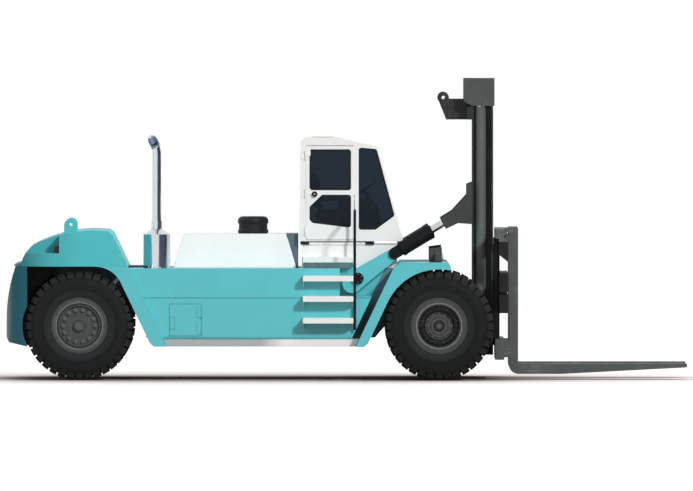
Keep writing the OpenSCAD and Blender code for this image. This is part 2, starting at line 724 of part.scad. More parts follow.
// Lays a pane's plan of height and width on the windscreen's plane
module on_windscreen() translate([cab_front_x, 0, cab_z])
    rotate([0, -front_slope, 0]) rotate([0, -90, 0]) children();
module on_rear_wall() translate([cab_rear_x, 0, cab_z])
    rotate([0, rear_slope, 0]) rotate([0, -90, 0]) children();
module front_pane(gap) translate([70 + gap, -front_pane_half + gap])
    square([front_pane_len - 150 - 2 * gap, 2 * front_pane_half - 2 * gap]);
module rear_pane(gap) translate([700 + gap, -rear_pane_half + gap])
    square([640 - 2 * gap, 2 * rear_pane_half - 2 * gap]);
module roof_pane(gap) translate([cab_roof_rear_x + 90 + gap, -roof_pane_half + gap])
    square([cab_roof_break_x - cab_roof_rear_x - 130 - 2 * gap, 2 * roof_pane_half - 2 * gap]);
module cab_shell() color(white) {
    difference() {
        side_plate([-cab_half_w, cab_half_w]) cab_outline();
        side_plate([wall_t - cab_half_w, cab_half_w - wall_t]) cab_inside();
        both_sides() {
            side_plate([cab_half_w - wall_t - 10, cab_half_w + 10]) door_outline(door_gap);
            side_plate([cab_half_w - wall_t - 10, cab_half_w + 10]) window_hole(quarter_window);
        }
        on_windscreen() translate([0, 0, -20]) linear_extrude(wall_t + 40) front_pane(0);
        on_rear_wall() translate([0, 0, -wall_t - 20]) linear_extrude(wall_t + 40) rear_pane(0);
        floor_plate([roof_z - wall_t - 20, roof_z + 20]) roof_pane(0);
    }
    both_sides() for (z = [door_z0 + 130, (door_z0 + door_z1) / 2, door_z1 - 130]) {
        block([hinge_x - 60, hinge_x], [cab_half_w, cab_half_w + 6], [z - 70, z - 20]);
        rod_z(hinge_x, hinge_y, hinge_pin_r, [z - 70, z + 60]);
        rod_z(hinge_x, hinge_y, hinge_pin_r + 6, [z - 70, z - 20]);
    }
}
module cab_glass() color(tinted) {
    both_sides() side_plate([cab_half_w - 20 - glass_t, cab_half_w - 20]) window_pane(quarter_window);
    on_windscreen() translate([0, 0, 16]) linear_extrude(glass_t) front_pane(fit);
    on_rear_wall() translate([0, 0, -16 - glass_t]) linear_extrude(glass_t) rear_pane(fit);
    floor_plate([roof_z - 16 - glass_t, roof_z - 16]) roof_pane(fit);
}
module door() {
    lock_x = door_x0 + 120;
    lock_z = cab_z + 700;
    difference() {
        side_plate([cab_half_w - wall_t, cab_half_w]) difference() {
            door_outline(0);
            window_hole(upper_window);
            window_hole(lower_window);
        }
    }
    rod_y(lock_x, lock_z, 42, [cab_half_w, cab_half_w + 14]);
    for (z = [door_z0 + 130, (door_z0 + door_z1) / 2, door_z1 - 130]) {
        difference() {
            union() {
                rod_z(hinge_x, hinge_y, hinge_pin_r + 6, [z - 19, z + 60]);
                block([hinge_x, door_x0 + 60], [cab_half_w, cab_half_w + 6], [z - 19, z + 60]);
            }
            rod_z(hinge_x, hinge_y, hinge_pin_r + fit, [z - 100, z + 100]);
        }
    }
}
module door_glass() {
    side_plate([cab_half_w - 20 - glass_t, cab_half_w - 20]) window_pane(upper_window);
    side_plate([cab_half_w - 20 - glass_t, cab_half_w - 20]) window_pane(lower_window);
}

// What carries the cab: rubber mounts at the ends of a bar on the pedestal
mount_len = 130;
mount_table = [cab_rear_x + 20, cab_front_x - 560];
module cab_mounts() color(black) both_sides() {
    for (x = mount_table)
        block([x, x + mount_len], [cab_half_w - 120, cab_half_w - 30], [cab_z - mount_h, cab_z]);
}
module pedestal_form(inset) block([cab_rear_x + 40 + inset, cab_front_x - 90 - inset],
    [inset - pedestal_half_w, pedestal_half_w - inset], [deck_z - inset, cab_z - mount_h - inset]);
module cab_pedestal() color(white) {
    difference() {
        pedestal_form(0);
        pedestal_form(12);
    }
    both_sides() block([mount_table[0] + mount_len, mount_table[1]], [cab_half_w - 100, cab_half_w - 40],
        [cab_z - mount_h - 1, cab_z - 12]);
}
module operator_seat() color(black) {
    seat_x = -1620;
    base_z = cab_floor_z;
    block([seat_x - 180, seat_x + 180], [-200, 200], [base_z, base_z + 260]);
    block([seat_x - 250, seat_x + 270], [-260, 260], [base_z + 260, base_z + 400]);
    side_plate([-250, 250]) polygon([[seat_x - 250, base_z + 400], [seat_x - 110, base_z + 400],
        [seat_x - 200, base_z + 1000], [seat_x - 310, base_z + 1000]]);
    both_sides() block([seat_x - 120, seat_x + 240], [270, 340], [base_z + 540, base_z + 600]);
    both_sides() block([seat_x - 170, seat_x - 110], [250, 300], [base_z + 400, base_z + 600]);
}
module steering_console() color(black) {
    base_z = cab_floor_z;
    wheel_x = -1120;
    wheel_z = base_z + 700;
    lean = 35;
    side_plate([-130, 130]) polygon([[-980, base_z], [-820, base_z],
        [-900, base_z + 420], [-1020, base_z + 420]]);
    translate([wheel_x, 0, wheel_z]) rotate([0, -lean, 0]) {
        rotate_extrude() translate([190, 0]) circle(r = 16);
        rotate([0, 0, 45]) block([-180, 180], [-18, 18], [-10, 10]);
        rotate([0, 0, -45]) block([-180, 180], [-18, 18], [-10, 10]);
        translate([0, 0, -380]) cylinder(r = 34, h = 390);
    }
    both_sides() block([-1500, -1000], [440, 600], [base_z, base_z + 560]);
}

// Steps and handrails
module steps() color(white) both_sides() for (row = steps_table) {
    z = row[0];
    block([tread_x, tread_x + tread_len], [row[1], row[2]], [z - 10, z]);
    block([tread_x, tread_x + tread_len], [row[2] - 10, row[2]], [z - tread_lip, z]);
    for (x = [tread_x, tread_x + tread_len - 12])
        cross_plate([x, x + 12]) polygon([[row[1], z - 5], [row[2] - 5, z - 5], [row[2] - 5, z - tread_lip],
            [row[1], z - 2 * tread_lip]]);
}
module handrails() color(black) both_sides() {
    bend = 140;
    z0 = steps_table[3][0] - 180;
    translate([handrail_x, 0, 0]) {
        rod_z(0, handrail_y1, rail_r, [z0, handrail_top_z - bend]);
        rod_z(0, handrail_y0, rail_r, [steps_table[0][0] - tread_lip, handrail_top_z - bend]);
        translate([0, handrail_y1 - bend, handrail_top_z - bend]) rotate([90, 0, 90])
            rotate_extrude(angle = 90) translate([bend, 0]) circle(r = rail_r);
        translate([0, handrail_y0 + bend, handrail_top_z - bend]) rotate([90, 0, -90])
            rotate_extrude(angle = 90) translate([bend, 0]) circle(r = rail_r);
        rod_y(0, handrail_top_z, rail_r, [handrail_y0 + bend, handrail_y1 - bend]);
        for (z = [z0 + 120, crease_z - 200]) rod_y(0, z, rail_r - 4, [panel_y, handrail_y1]);
    }
}

// Lamps: headlamps on the front mudguards, tail lamps on the shelves of the counterweight
module lamps() color(steel_grey) both_sides() {
    lamp_y = outer_tyre_y + 24;
    side_plate([lamp_y - 110, lamp_y - 95]) polygon([[-145, mudguard_z], [41, mudguard_z],
        [41, mudguard_z + 223], [-145, mudguard_z + 200]]);
    block([-145, 41], [lamp_y - 110, lamp_y + 60], [mudguard_z, mudguard_z + 12]);
    block([-60, 41], [lamp_y - 95, lamp_y + 95], [mudguard_z + 12, mudguard_z + 130]);
    block([lamp_shelf_x - 60, lamp_shelf_x], [tail_half_w - 340, tail_half_w - 90],
        [lamp_shelf_z, lamp_shelf_z + 110]);
}

// Arms on the rails that carry the tilt cylinders
module tilt_anchors() color(teal) both_sides() {
    lobe = [anchor_x - 630, deck_z - 230];
    boss = lobe + [88, 77];
    outer_y = tilt_y + tilt_eye_w / 2 + arm_gap + arm_t;
    side_plate([tilt_y - tilt_eye_w / 2, tilt_y + tilt_eye_w / 2]) hull() {
        translate(lobe) circle(r = 145, $fn = 32);
        translate(lobe + [110, 120]) circle(r = 115, $fn = 32);
        translate([anchor_x, anchor_z]) circle(r = clevis_r, $fn = 32);
    }
    rod_y(boss[0], boss[1], 90, [rail_y1 + box_t, outer_y + 20]);
    rod_y(anchor_x, anchor_z, tilt_pin_r, [2 * tilt_y - outer_y, outer_y]);
}

// Tilt cylinder, drawn along +X from its rear pin
module along_tilt() translate([anchor_x, tilt_y, anchor_z]) rotate([0, -tilt_angle, 0]) children();
module lying(r, x) translate([x[0], 0, 0]) rotate([0, 90, 0]) cylinder(r = r, h = x[1] - x[0]);
module tilt_barrel(side) color(black) on_side(side) along_tilt() difference() {
    union() {
        for (side = [-1, 1]) {
            y = side * (tilt_eye_w / 2 + arm_gap + arm_t / 2);
            side_plate([y - arm_t / 2, y + arm_t / 2]) hull() {
                circle(r = clevis_r, $fn = 32);
                translate([clevis_x, -clevis_r]) square([40, 2 * clevis_r]);
            }
        }
        lying(tilt_r, [clevis_x, tilt_barrel_len]);
        for (x = [[clevis_x + 10, clevis_x + 60], [tilt_barrel_len - 80, tilt_barrel_len]]) lying(tilt_r + 4, x);
        lying(tilt_rod_r + 24, [tilt_barrel_len - 10, tilt_barrel_len + 16]);
    }
    rod_y(0, 0, tilt_pin_r + fit, [-2 * tilt_eye_w, 2 * tilt_eye_w]);
    lying(tilt_rod_r + fit, [180, tilt_barrel_len + 30]);
}
module tilt_rod(side) color(chrome) on_side(side) along_tilt() difference() {
    union() {
        lying(tilt_rod_r, [462, tilt_len - 30]);
        rod_y(tilt_len, 0, tilt_eye_r, [-tilt_eye_w / 2, tilt_eye_w / 2]);
    }
    rod_y(tilt_len, 0, tilt_pin_r + tilt_eye_play, [-tilt_eye_w, tilt_eye_w]);
}

// Tyre about the Y axis: carcass, and lugs cut from its tread
module tread_profile(r, shoulder) {
    half = tyre_w / 2;
    bead = half - 50;
    wall_r = rim_r + flange_h + 80;
    polygon([[rim_r, -bead], [rim_r + flange_h, -half + 18],
        [wall_r, -half], [r - 110, -half + 4], [r - shoulder, -half + 26], [r, -half + 80],
        [r, half - 80], [r - shoulder, half - 26], [r - 110, half - 4], [wall_r, half],
        [rim_r + flange_h, half - 18], [rim_r, bead]]);
}
module tyre() rotate([90, 0, 0]) {
    groove_r = tyre_r - lug_depth;
    rotate_extrude() tread_profile(groove_r, 34);
    intersection() {
        rotate_extrude() tread_profile(tyre_r, 40);
        linear_extrude(tyre_w, center = true) difference() {
            polygon([for (i = [0:lug_count - 1], c = [-0.42, -0.39, 0.39, 0.42])
                let (a = (i + c) * 360 / lug_count - 90, r = abs(c) > 0.405 ? groove_r - 25 : tyre_r + 30)
                [r * cos(a), r * sin(a)]]);
            circle(r = groove_r - 60);
        }
    }
}
module on_drive(side, y) on_side(side) translate([0, y, axle_z]) children();
module drive_tyres(side) color(rubber) for (y = [inner_tyre_y, outer_tyre_y]) on_drive(side, y) tyre();

// Rim about the Y axis, with flanges that hold the tyre's beads
module rim_shell() rotate([90, 0, 0]) rotate_extrude() {
    half = tyre_w / 2;
    bead = half - 50;
    flange_r = rim_r + flange_h + 2;
    lip_r = rim_r + flange_h;
    polygon([[barrel_r, -half + 6], [flange_r, -half + 6], [flange_r, -half + 17], [lip_r, -half + 17.4],
        [rim_r - fit, -bead - 0.6], [rim_r - fit, bead + 0.6], [lip_r, half - 17.4],
        [flange_r, half - 17], [flange_r, half - 6], [barrel_r, half - 6]]);
}
module drive_rims(side) color(steel_grey) {
    hub_r = 205;
    nuts = 24;
    disc_y = inner_tyre_y + twin_pitch / 2 + 60;
    on_drive(side, 0) difference() {
        union() {
            for (y = [inner_tyre_y, outer_tyre_y]) translate([0, y, 0]) rim_shell();
            difference() {
                rod_y(0, 0, barrel_r + 14, [inner_tyre_y + tyre_w / 2 - 30, outer_tyre_y - tyre_w / 2 + 30]);
                rod_y(0, 0, barrel_r, [inner_tyre_y, outer_tyre_y]);
            }
            rod_y(0, 0, barrel_r + 1, [disc_y, disc_y + 40]);
            rod_y(0, 0, hub_r, [inner_tyre_y + 170, disc_y + 300]);
            rod_y(0, 0, hub_r - 40, [disc_y + 290, disc_y + 325]);
            rod_y(0, 0, 75, [disc_y + 320, disc_y + 350]);
            for (i = [0:nuts - 1]) rotate([0, i * 360 / nuts, 0])
                rod_y(248, 0, 17, [disc_y + 38, disc_y + 76]);
        }
        rod_y(0, 0, drive_spindle_r + fit, [0, inner_tyre_y + spindle_len + 0.5]);
    }
}

// Steered wheels
module on_kingpin(side) on_side(side) translate([steer_x, kingpin_y, axle_z]) children();
module knuckle(side) color(black) on_kingpin(side) difference() {
    union() {
        rod_z(0, 0, 100, [-104.5, 104.5]);
        rod_y(0, 0, spindle_r, [0, kingpin_inset + 100]);
        block([0, 190], [10, 60], [-90, -40]);
    }
    rod_z(0, 0, kingpin_r + fit, [-200, 200]);
}
module on_steer(side) on_side(side) translate([steer_x, steer_y, axle_z]) children();
module steer_tyre(side) color(rubber) on_steer(side) tyre();
module steer_rim(side) color(steel_grey) on_steer(side) {
    nuts = 14;
    disc_y = tyre_w / 2 - 90;
    difference() {
        union() {
            rim_shell();
            rod_y(0, 0, barrel_r + 1, [disc_y, disc_y + 30]);
            rod_y(0, 0, spindle_r + 50, [-60, disc_y + 10]);
            rod_y(0, 0, 82, [disc_y + 20, disc_y + 80]);
            for (i = [0:nuts - 1]) rotate([0, i * 360 / nuts, 0]) {
                rod_y(238, 0, 20, [disc_y + 28, disc_y + 62]);
                block([205, 262], [disc_y + 28, disc_y + 42], [-24, 24]);
            }
        }
        rod_y(0, 0, spindle_r + fit, [-200, 100.5]);
    }
}

// Outer mast: H-shaped uprights, cross members, tilt lugs and pivot ears
module upright_plan(x, y, web) {
    translate([x[0], y[0]]) square([flange_t, y[1] - y[0]]);
    translate([x[1] - flange_t, y[0]]) square([flange_t, y[1] - y[0]]);
    translate([x[0], web]) square([x[1] - x[0], flange_t]);
}
module outer_mast() color(steel_grey) both_sides() {
    floor_plate([mast_foot_z, outer_top_z])
        upright_plan([mast_x, mast_x1], [flange_y0, mast_half_w], web_y0);
    block([mast_x, mast_x1], [web_y0, mast_half_w], [seat_z - ear_t, seat_z]);
    difference() {
        for (y = [bracket_y - ear_gap - ear_t, bracket_y + plate_t + ear_gap]) side_plate([y, y + ear_t]) {
            translate([pivot_x, pivot_z]) circle(r = pivot_boss_r);
            polygon([[pivot_x, pivot_z - pivot_boss_r], [mast_x + 1, pivot_z - 160],
                [mast_x + 1, pivot_z + 160], [pivot_x, pivot_z + pivot_boss_r]]);
        }
        rod_y(pivot_x, pivot_z, pivot_pin_r + fit, [0, mast_half_w]);
    }
}

// Beams across the back of the outer uprights: foot, chain anchors, and top with the lifting eyes
module mast_eye_outline() difference() {
    union() {
        translate(mast_eye) circle(r = 85);
        polygon([mast_eye + [-85, -5], [110, top_beam_z], [mast_x, top_beam_z],
            [mast_x, mast_eye[1] - 20], mast_eye + [84, -20]]);
    }
    translate(mast_eye) circle(r = mast_eye_r);
}
module crossbeam(half_w, z) block([mast_x - crossbeam_t, mast_x], [-half_w, half_w], z);
module mast_crossbeams() color(steel_grey) {
    crossbeam(mast_half_w, [mast_foot_z + 10, mast_foot_z + 160]);
    crossbeam(mast_half_w, [top_beam_z, outer_top_z]);
    crossbeam(flange_y0 + 20, [chain_anchor_z - 270, chain_anchor_z]);
    both_sides() {
        side_plate([mast_eye_y, mast_eye_y + mast_eye_t]) mast_eye_outline();
        block([mast_x - 10, chain_rear_x + chain_t / 2 + 12], [chain_y - chain_w, chain_y + chain_w],
            [chain_anchor_z - 60, chain_anchor_z]);
    }
}

// Brackets behind the uprights with the lugs and pins of the tilt cylinders
module tilt_lug_outline() polygon([[mast_x, rod_eye_z - 86], [rod_eye_x + 88, rod_eye_z - 71],
    [rod_eye_x - 93, rod_eye_z - 157], [rod_eye_x - 177, rod_eye_z - 6], [rod_eye_x, rod_eye_z + 104],
    [mast_x - 83, rod_eye_z + 342], [mast_x - 83, rod_eye_z + 494], [mast_x, rod_eye_z + 527]]);
module tilt_brackets() color(steel_grey) both_sides() {
    outer_y = tilt_y + lug_gap + arm_t;
    for (y = [tilt_y - lug_gap - arm_t, tilt_y + lug_gap]) side_plate([y, y + arm_t]) tilt_lug_outline();
    rod_y(rod_eye_x, rod_eye_z, tilt_pin_r, [tilt_y - lug_gap - arm_t, outer_y]);
    block([mast_x - 83, mast_x], [flange_y0 + 60, outer_y], [rod_eye_z - 63, rod_eye_z + 487]);
}
module lift_barrels() color(steel_grey) both_sides() difference() {
    rod_z(lift_x, lift_y, lift_r, [seat_z, outer_top_z]);
    rod_z(lift_x, lift_y, lift_rod_r + fit, [seat_z + 80, outer_top_z + 10]);
}

// Inner mast: uprights inside the outer ones, cross head with sheaves
module head_outline() polygon([[mast_x - 127, mast_top_z - 30], [mast_x - 127, head_z + 70],
    [mast_x, head_z], [mast_x1 + 20, head_z], [mast_x1 + 20, mast_top_z], [mast_x - 127, mast_top_z]]);
module inner_mast() color(steel_grey) {
    both_sides() {
        floor_plate([inner_foot_z, mast_top_z - cross_head_t])
            upright_plan([inner_x0, inner_x1], [inner_y0, inner_y1], inner_web_y);
        side_plate([web_y0 - 5, mast_half_w]) head_outline();
        rod_y(sheave_x, sheave_z, sheave_r, [chain_y - chain_w / 2 - 6, chain_y + chain_w / 2 + 6]);
        rod_y(sheave_x, sheave_z, 40, [0, chain_y + 80]);
        block([sheave_x - 60, sheave_x + 60], [chain_y + 60, chain_y + 90],
            [sheave_z - 60, mast_top_z - cross_head_t + 10]);
    }
    block([inner_x0, inner_x1], [-web_y0, web_y0], [mast_top_z - cross_head_t, mast_top_z]);
    block([mast_x + 8, inner_x0 + flange_t], [-inner_y0 - 10, inner_y0 + 10],
        [inner_foot_z, inner_foot_z + inner_foot_h]);
}
module lift_rods() color(chrome) both_sides()
    rod_z(lift_x, lift_y, lift_rod_r, [head_z - lift_stroke - 160, head_z]);

// Leaf chains, scalloped link by link, over the sheaves
chain_foot_z = carriage_beam_z - 196;
function chain_edge(sign, z0, z1) = [for (k = [0:floor((z1 - z0) / chain_pitch * 2)])
    [sign * (k % 2 == 0 ? chain_t / 2 : chain_t / 2 - 8), z0 + k * chain_pitch / 2]];
module chain_run(x, z0, z1) {
    a = chain_edge(-1, z0, z1);
    b = chain_edge(1, z0, z1);
    side_plate([chain_y - chain_w / 2, chain_y + chain_w / 2]) translate([x, 0])
        polygon(concat([for (p = a) p], [[-chain_t / 2, z1], [chain_t / 2, z1]],
            [for (k = [len(b) - 1:-1:0]) b[k]]));
}
module lift_chains() color(black) both_sides() {
    chain_run(chain_front_x, chain_foot_z, sheave_z);
    chain_run(chain_rear_x, chain_anchor_z, sheave_z);
    side_plate([chain_y - chain_w / 2, chain_y + chain_w / 2]) translate([sheave_x, sheave_z])
        intersection() {
            difference() {
                circle(r = sheave_r + chain_t);
                circle(r = sheave_r + fit);
            }
            translate([-300, 0]) square([600, 300]);
        }
}

// Fork carriage: beams, plates and rollers in the inner mast
module carriage() color(steel_grey) {
    top_roller_z = carriage_beam_z - 196;
    low_roller_z = lower_beam_z1 + 16;
    both_sides() {
        block([roller_x - 70, carriage_x0 + 90], [inner_y0 - 60, inner_y0 - 8],
            [low_roller_z - 120, top_roller_z + 100]);
        for (z = [low_roller_z, top_roller_z]) {
            rod_y(roller_x, z, roller_r, [inner_y0 + 2, inner_web_y - 4]);
            rod_y(roller_x, z, 45, [inner_y0 - 60, inner_y0 + 10]);
        }
        block([carriage_x0, carriage_x0 + 90], [inner_y0 - 60, inner_y0 + 90],
            [lower_beam_z1, carriage_beam_z]);
        block([chain_front_x - 60, carriage_x0 + 20], [chain_y - 50, chain_y + 50],
            [chain_foot_z - 60, chain_foot_z]);
    }
    block([carriage_x0, carriage_x0 + 40], [-inner_y0, inner_y0], [chain_foot_z - 160, chain_foot_z + 40]);
    block([beam_x0, beam_x1], [-carriage_half_w, carriage_half_w], [carriage_beam_z, carriage_top_z]);
    block([beam_x0, beam_x1], [-carriage_half_w, carriage_half_w], [lower_beam_z0, lower_beam_z1]);
    block([beam_x1 - 10, rail_bar_x1], [-carriage_half_w, carriage_half_w], [hook_bar_z0, hook_bar_z1]);
    both_sides() side_plate([carriage_half_w - stop_t, carriage_half_w])
        polygon([[beam_x0 + 56, carriage_beam_z + 1], [beam_x0 + 56, carriage_beam_z - stop_h + 106],
            [rail_bar_x1 + 12, carriage_beam_z - stop_h], [rail_bar_x1 + 12, carriage_beam_z + 1]]);
    for (z = plank_table)
        block([carriage_x0 + 80, rail_bar_x1 + 12], [-carriage_half_w + 60, carriage_half_w - 60], z);
}

// Fork: forged angle with hooks on the carriage
module fork_outline() {
    heel_r = 150;
    foot_z = 83;
    taper_x = shank_x1 + 640;
    polygon(concat([[shank_x, fork_top_z], [shank_x1, fork_top_z], [shank_x1, blade_z], [tip_x, blade_z],
        [tip_x, blade_z - tip_t], [taper_x, foot_z]],
        arc([shank_x + heel_r, foot_z + heel_r], heel_r, 270, 180, 8)));
}
module fork(side) color(steel_grey) on_side(side) {
    y = [fork_y - fork_w / 2, fork_y + fork_w / 2];
    nose = 70;
    intersection() {
        side_plate(y) fork_outline();
        floor_plate([0, fork_top_z]) polygon([[shank_x - 10, y[0]], [tip_x - nose, y[0]],
            [tip_x, y[0] + nose], [tip_x, y[1] - nose], [tip_x - nose, y[1]], [shank_x - 10, y[1]]]);
    }
    block([beam_x1 + slide_gap, shank_x + 1], y, [hook_bar_z1 + slide_gap, carriage_top_z]);
    block([beam_x1 + slide_gap, shank_x + 1], y, [carriage_beam_z - 16, hook_bar_z0 - slide_gap]);
    block([beam_x1 + slide_gap, shank_x + 1], y, [lower_beam_z0 + 30, lower_beam_z1 - 20]);
}

placed() chassis_frame();
placed() drive_axle();
placed() steer_axle();
placed() counterweight();
placed() counterweight_cap();
placed() rear_mudguards();
placed() front_mudguards();
placed() side_box_right();
placed() side_box_left();
placed() sills();
placed() engine_hood();
placed() engine_block();
placed() hood_bulkhead();
placed() exhaust_stack();
placed() air_precleaner();
placed() cab_shell();
placed() cab_glass();
placed() cab_mounts();
placed() cab_pedestal();
placed() operator_seat();
placed() steering_console();
placed() steps();
placed() handrails();
placed() tilt_anchors();
placed() lamps();
placed() hatch_right();
placed() color(white) on_side(right) door();  // door_right
placed() color(tinted) on_side(right) door_glass();  // door_glass_right
placed() color(white) door();  // door_left
placed() color(tinted) door_glass();  // door_glass_left
placed() drive_tyres(right);  // drive_tyres_right
placed() drive_rims(right);  // drive_rims_right
placed() drive_tyres(left);  // drive_tyres_left
placed() drive_rims(left);  // drive_rims_left
placed() knuckle(right);  // knuckle_right
placed() knuckle(left);  // knuckle_left
placed() steer_tyre(right);  // steer_tyre_right
placed() steer_rim(right);  // steer_rim_right
placed() steer_tyre(left);  // steer_tyre_left
placed() steer_rim(left);  // steer_rim_left
placed() tilt_barrel(right);  // tilt_barrel_right
placed() tilt_rod(right);  // tilt_rod_right
placed() tilt_barrel(left);  // tilt_barrel_left
placed() tilt_rod(left);  // tilt_rod_left
placed() outer_mast();
placed() mast_crossbeams();
placed() tilt_brackets();
placed() lift_barrels();
placed() inner_mast();
placed() lift_rods();
placed() lift_chains();
placed() carriage();
placed() fork(right);  // fork_right
placed() fork(left);  // fork_left
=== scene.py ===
"""Dresses a heavy forklift truck's frame with paint, glass, rubber, nuts, chains, seals, lamps and a seat.

All places are metres in the frame's own axes: +X to the fork tips, +Y to the driver's left, +Z up.
"""

import json
import math

import bmesh
import bpy
from mathutils import Matrix, Vector
from mathutils.geometry import convex_hull_2d


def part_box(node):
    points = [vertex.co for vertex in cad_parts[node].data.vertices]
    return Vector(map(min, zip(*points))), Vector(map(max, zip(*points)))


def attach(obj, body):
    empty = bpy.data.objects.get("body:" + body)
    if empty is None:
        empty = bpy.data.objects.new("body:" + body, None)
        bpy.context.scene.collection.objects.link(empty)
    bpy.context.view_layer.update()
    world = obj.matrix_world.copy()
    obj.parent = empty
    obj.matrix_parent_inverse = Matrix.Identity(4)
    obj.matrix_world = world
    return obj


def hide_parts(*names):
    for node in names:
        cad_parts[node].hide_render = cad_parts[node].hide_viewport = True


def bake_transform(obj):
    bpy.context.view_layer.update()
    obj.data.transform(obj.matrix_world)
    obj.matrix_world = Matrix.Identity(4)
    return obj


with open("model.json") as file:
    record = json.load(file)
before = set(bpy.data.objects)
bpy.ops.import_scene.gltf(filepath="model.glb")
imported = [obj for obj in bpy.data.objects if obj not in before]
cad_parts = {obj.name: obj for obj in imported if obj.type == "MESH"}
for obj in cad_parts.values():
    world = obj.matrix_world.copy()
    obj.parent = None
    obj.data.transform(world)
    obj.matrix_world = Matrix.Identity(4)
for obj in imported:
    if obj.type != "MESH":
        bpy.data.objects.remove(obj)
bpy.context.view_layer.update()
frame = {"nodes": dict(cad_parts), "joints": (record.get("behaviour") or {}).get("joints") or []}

bl_info = {
    "name": "Heavy forklift truck",
    "version": (1, 0, 0),
    "blender": (4, 5, 0),
    "location": "View3D > Sidebar > Forklift",
    "description": "Dresses the frame of a heavy forklift truck and sets up its studio",
    "category": "Object",
}

RIGHT, LEFT = -1, 1
SIDES = (("right", RIGHT), ("left", LEFT))
MM = 0.001


def srgb(code):
    """An sRGB hex colour as linear RGBA."""
    channels = (int(code[i:i + 2], 16) / 255 for i in (1, 3, 5))
    return tuple(c / 12.92 if c <= 0.04045 else ((c + 0.055) / 1.055) ** 2.4 for c in channels) + (1.0,)


def shade(colour, factor):
    """The same colour, lighter or darker."""
    return tuple(min(1.0, c * factor) for c in colour[:3]) + (1.0,)


def add(tree, kind, inputs=None, stops=(), **settings):
    """One node: settings are its properties, inputs values or feeding outputs, stops a ramp's colours."""
    node = tree.nodes.new(kind)
    for i, (place, colour) in enumerate(stops):
        stop = node.color_ramp.elements[i] if i < 2 else node.color_ramp.elements.new(place)
        stop.position, stop.color = place, srgb(colour)
    for name, value in settings.items():
        setattr(node, name, value)
    for key, value in (inputs or {}).items():
        if isinstance(value, bpy.types.NodeSocket):
            tree.links.new(value, node.inputs[key])
        else:
            node.inputs[key].default_value = value
    return node


class TruckColours(bpy.types.PropertyGroup):
    """Colours of the truck's finishes."""

    body: bpy.props.FloatVectorProperty(
        name="Body", description="Enamel on the side boxes, mudguards and counterweight",
        subtype="COLOR", size=4, min=0, max=1, default=srgb("#57c8d0"))
    cab: bpy.props.FloatVectorProperty(
        name="Cab", description="Enamel on the cab, hood, sills and steps",
        subtype="COLOR", size=4, min=0, max=1, default=srgb("#fafcfb"))
    mast: bpy.props.FloatVectorProperty(
        name="Mast", description="Satin paint on the mast and carriage",
        subtype="COLOR", size=4, min=0, max=1, default=srgb("#262928"))
    underframe: bpy.props.FloatVectorProperty(
        name="Underframe", description="Chassis paint on the frame, axles and cylinders",
        subtype="COLOR", size=4, min=0, max=1, default=srgb("#181b1d"))
    # Its dark slate is painted shade of the recess between hood and cab; the frame rails use it lightened
    bulkhead: bpy.props.FloatVectorProperty(
        name="Bulkhead", description="Paint behind the hood",
        subtype="COLOR", size=4, min=0, max=1, default=srgb("#536572"))
    # Darker than the body partly as the casting's own paint, partly as painted shade where the lower
    # casting curves away from the light
    ballast: bpy.props.FloatVectorProperty(
        name="Ballast", description="Enamel on the lower casting of the counterweight",
        subtype="COLOR", size=4, min=0, max=1, default=srgb("#1f6674"))
    tint: bpy.props.FloatVectorProperty(
        name="Glass", description="Tint of the window panes",
        subtype="COLOR", size=4, min=0, max=1, default=srgb("#55626d"))
    dust: bpy.props.FloatVectorProperty(
        name="Dust", description="Yard dust on the lower panels",
        subtype="COLOR", size=4, min=0, max=1, default=srgb("#8d8a80"))


class TruckSizes(bpy.types.PropertyGroup):
    """Sizes of the fittings that are added to the frame."""

    edge: bpy.props.FloatProperty(
        name="Eased edge", description="Width of the eased edge on plates", unit="LENGTH", default=6 * MM)
    wheel_nut: bpy.props.FloatProperty(
        name="Wheel nut", description="Width of a wheel nut across its flats", unit="LENGTH",
        default=50 * MM)
    plate_bolt: bpy.props.FloatProperty(
        name="Plate bolt", description="Width of a plate bolt across its flats", unit="LENGTH",
        default=36 * MM)
    chain_pitch: bpy.props.FloatProperty(
        name="Chain pitch", description="Distance between the chain's pins", unit="LENGTH",
        default=50.8 * MM)
    chain_plates: bpy.props.IntProperty(
        name="Chain plates", description="Plates side by side in the wider links", min=2, default=5)
    seal_w: bpy.props.FloatProperty(
        name="Seal", description="Width of the rubber seal on each pane", unit="LENGTH", default=16 * MM)
    stud_gap: bpy.props.FloatProperty(
        name="Stud gap", description="Distance between the studs on a tread", unit="LENGTH",
        default=42 * MM)
    pad_swell: bpy.props.FloatProperty(
        name="Pad swell", description="Furthest that the seat's pads swell", unit="LENGTH", default=24 * MM)


class TruckStudio(bpy.types.PropertyGroup):
    """Camera and light."""

    image_w: bpy.props.IntProperty(name="Image width", description="Width of the picture", subtype="PIXEL",
                                   default=693)
    pixel: bpy.props.FloatProperty(
        name="Pixel", description="What one pixel covers on the truck's near side", unit="LENGTH",
        default=14.8 * MM)
    middle: bpy.props.FloatVectorProperty(
        name="Middle", description="Point in the middle of the picture", subtype="TRANSLATION", size=3,
        default=(-0.0045, -1.725, 2.001))
    distance: bpy.props.FloatProperty(
        name="Distance", description="Camera to the truck's near side", unit="LENGTH", default=320.0)
    elevation: bpy.props.FloatProperty(
        name="Elevation", description="How far the camera looks down", subtype="ANGLE",
        default=math.radians(0.8))
    sun: bpy.props.FloatProperty(name="Key light", description="Strength of the key light", default=1.9)
    sky: bpy.props.FloatProperty(name="Fill light", description="Strength of the white room", default=0.52)


# Materials


def start_material(name):
    """A new material, its tree, its shader and the place on the piece in metres."""
    material = bpy.data.materials.new(name)
    material.use_nodes = True
    tree = material.node_tree
    coords = add(tree, "ShaderNodeTexCoord").outputs["Object"]
    return material, tree, tree.nodes["Principled BSDF"], coords


def finish_shader(tree, shader, links, values):
    """Feed the shader's sockets with outputs and plain values."""
    for name, output in links.items():
        tree.links.new(output, shader.inputs[name])
    for name, value in values.items():
        shader.inputs[name].default_value = value


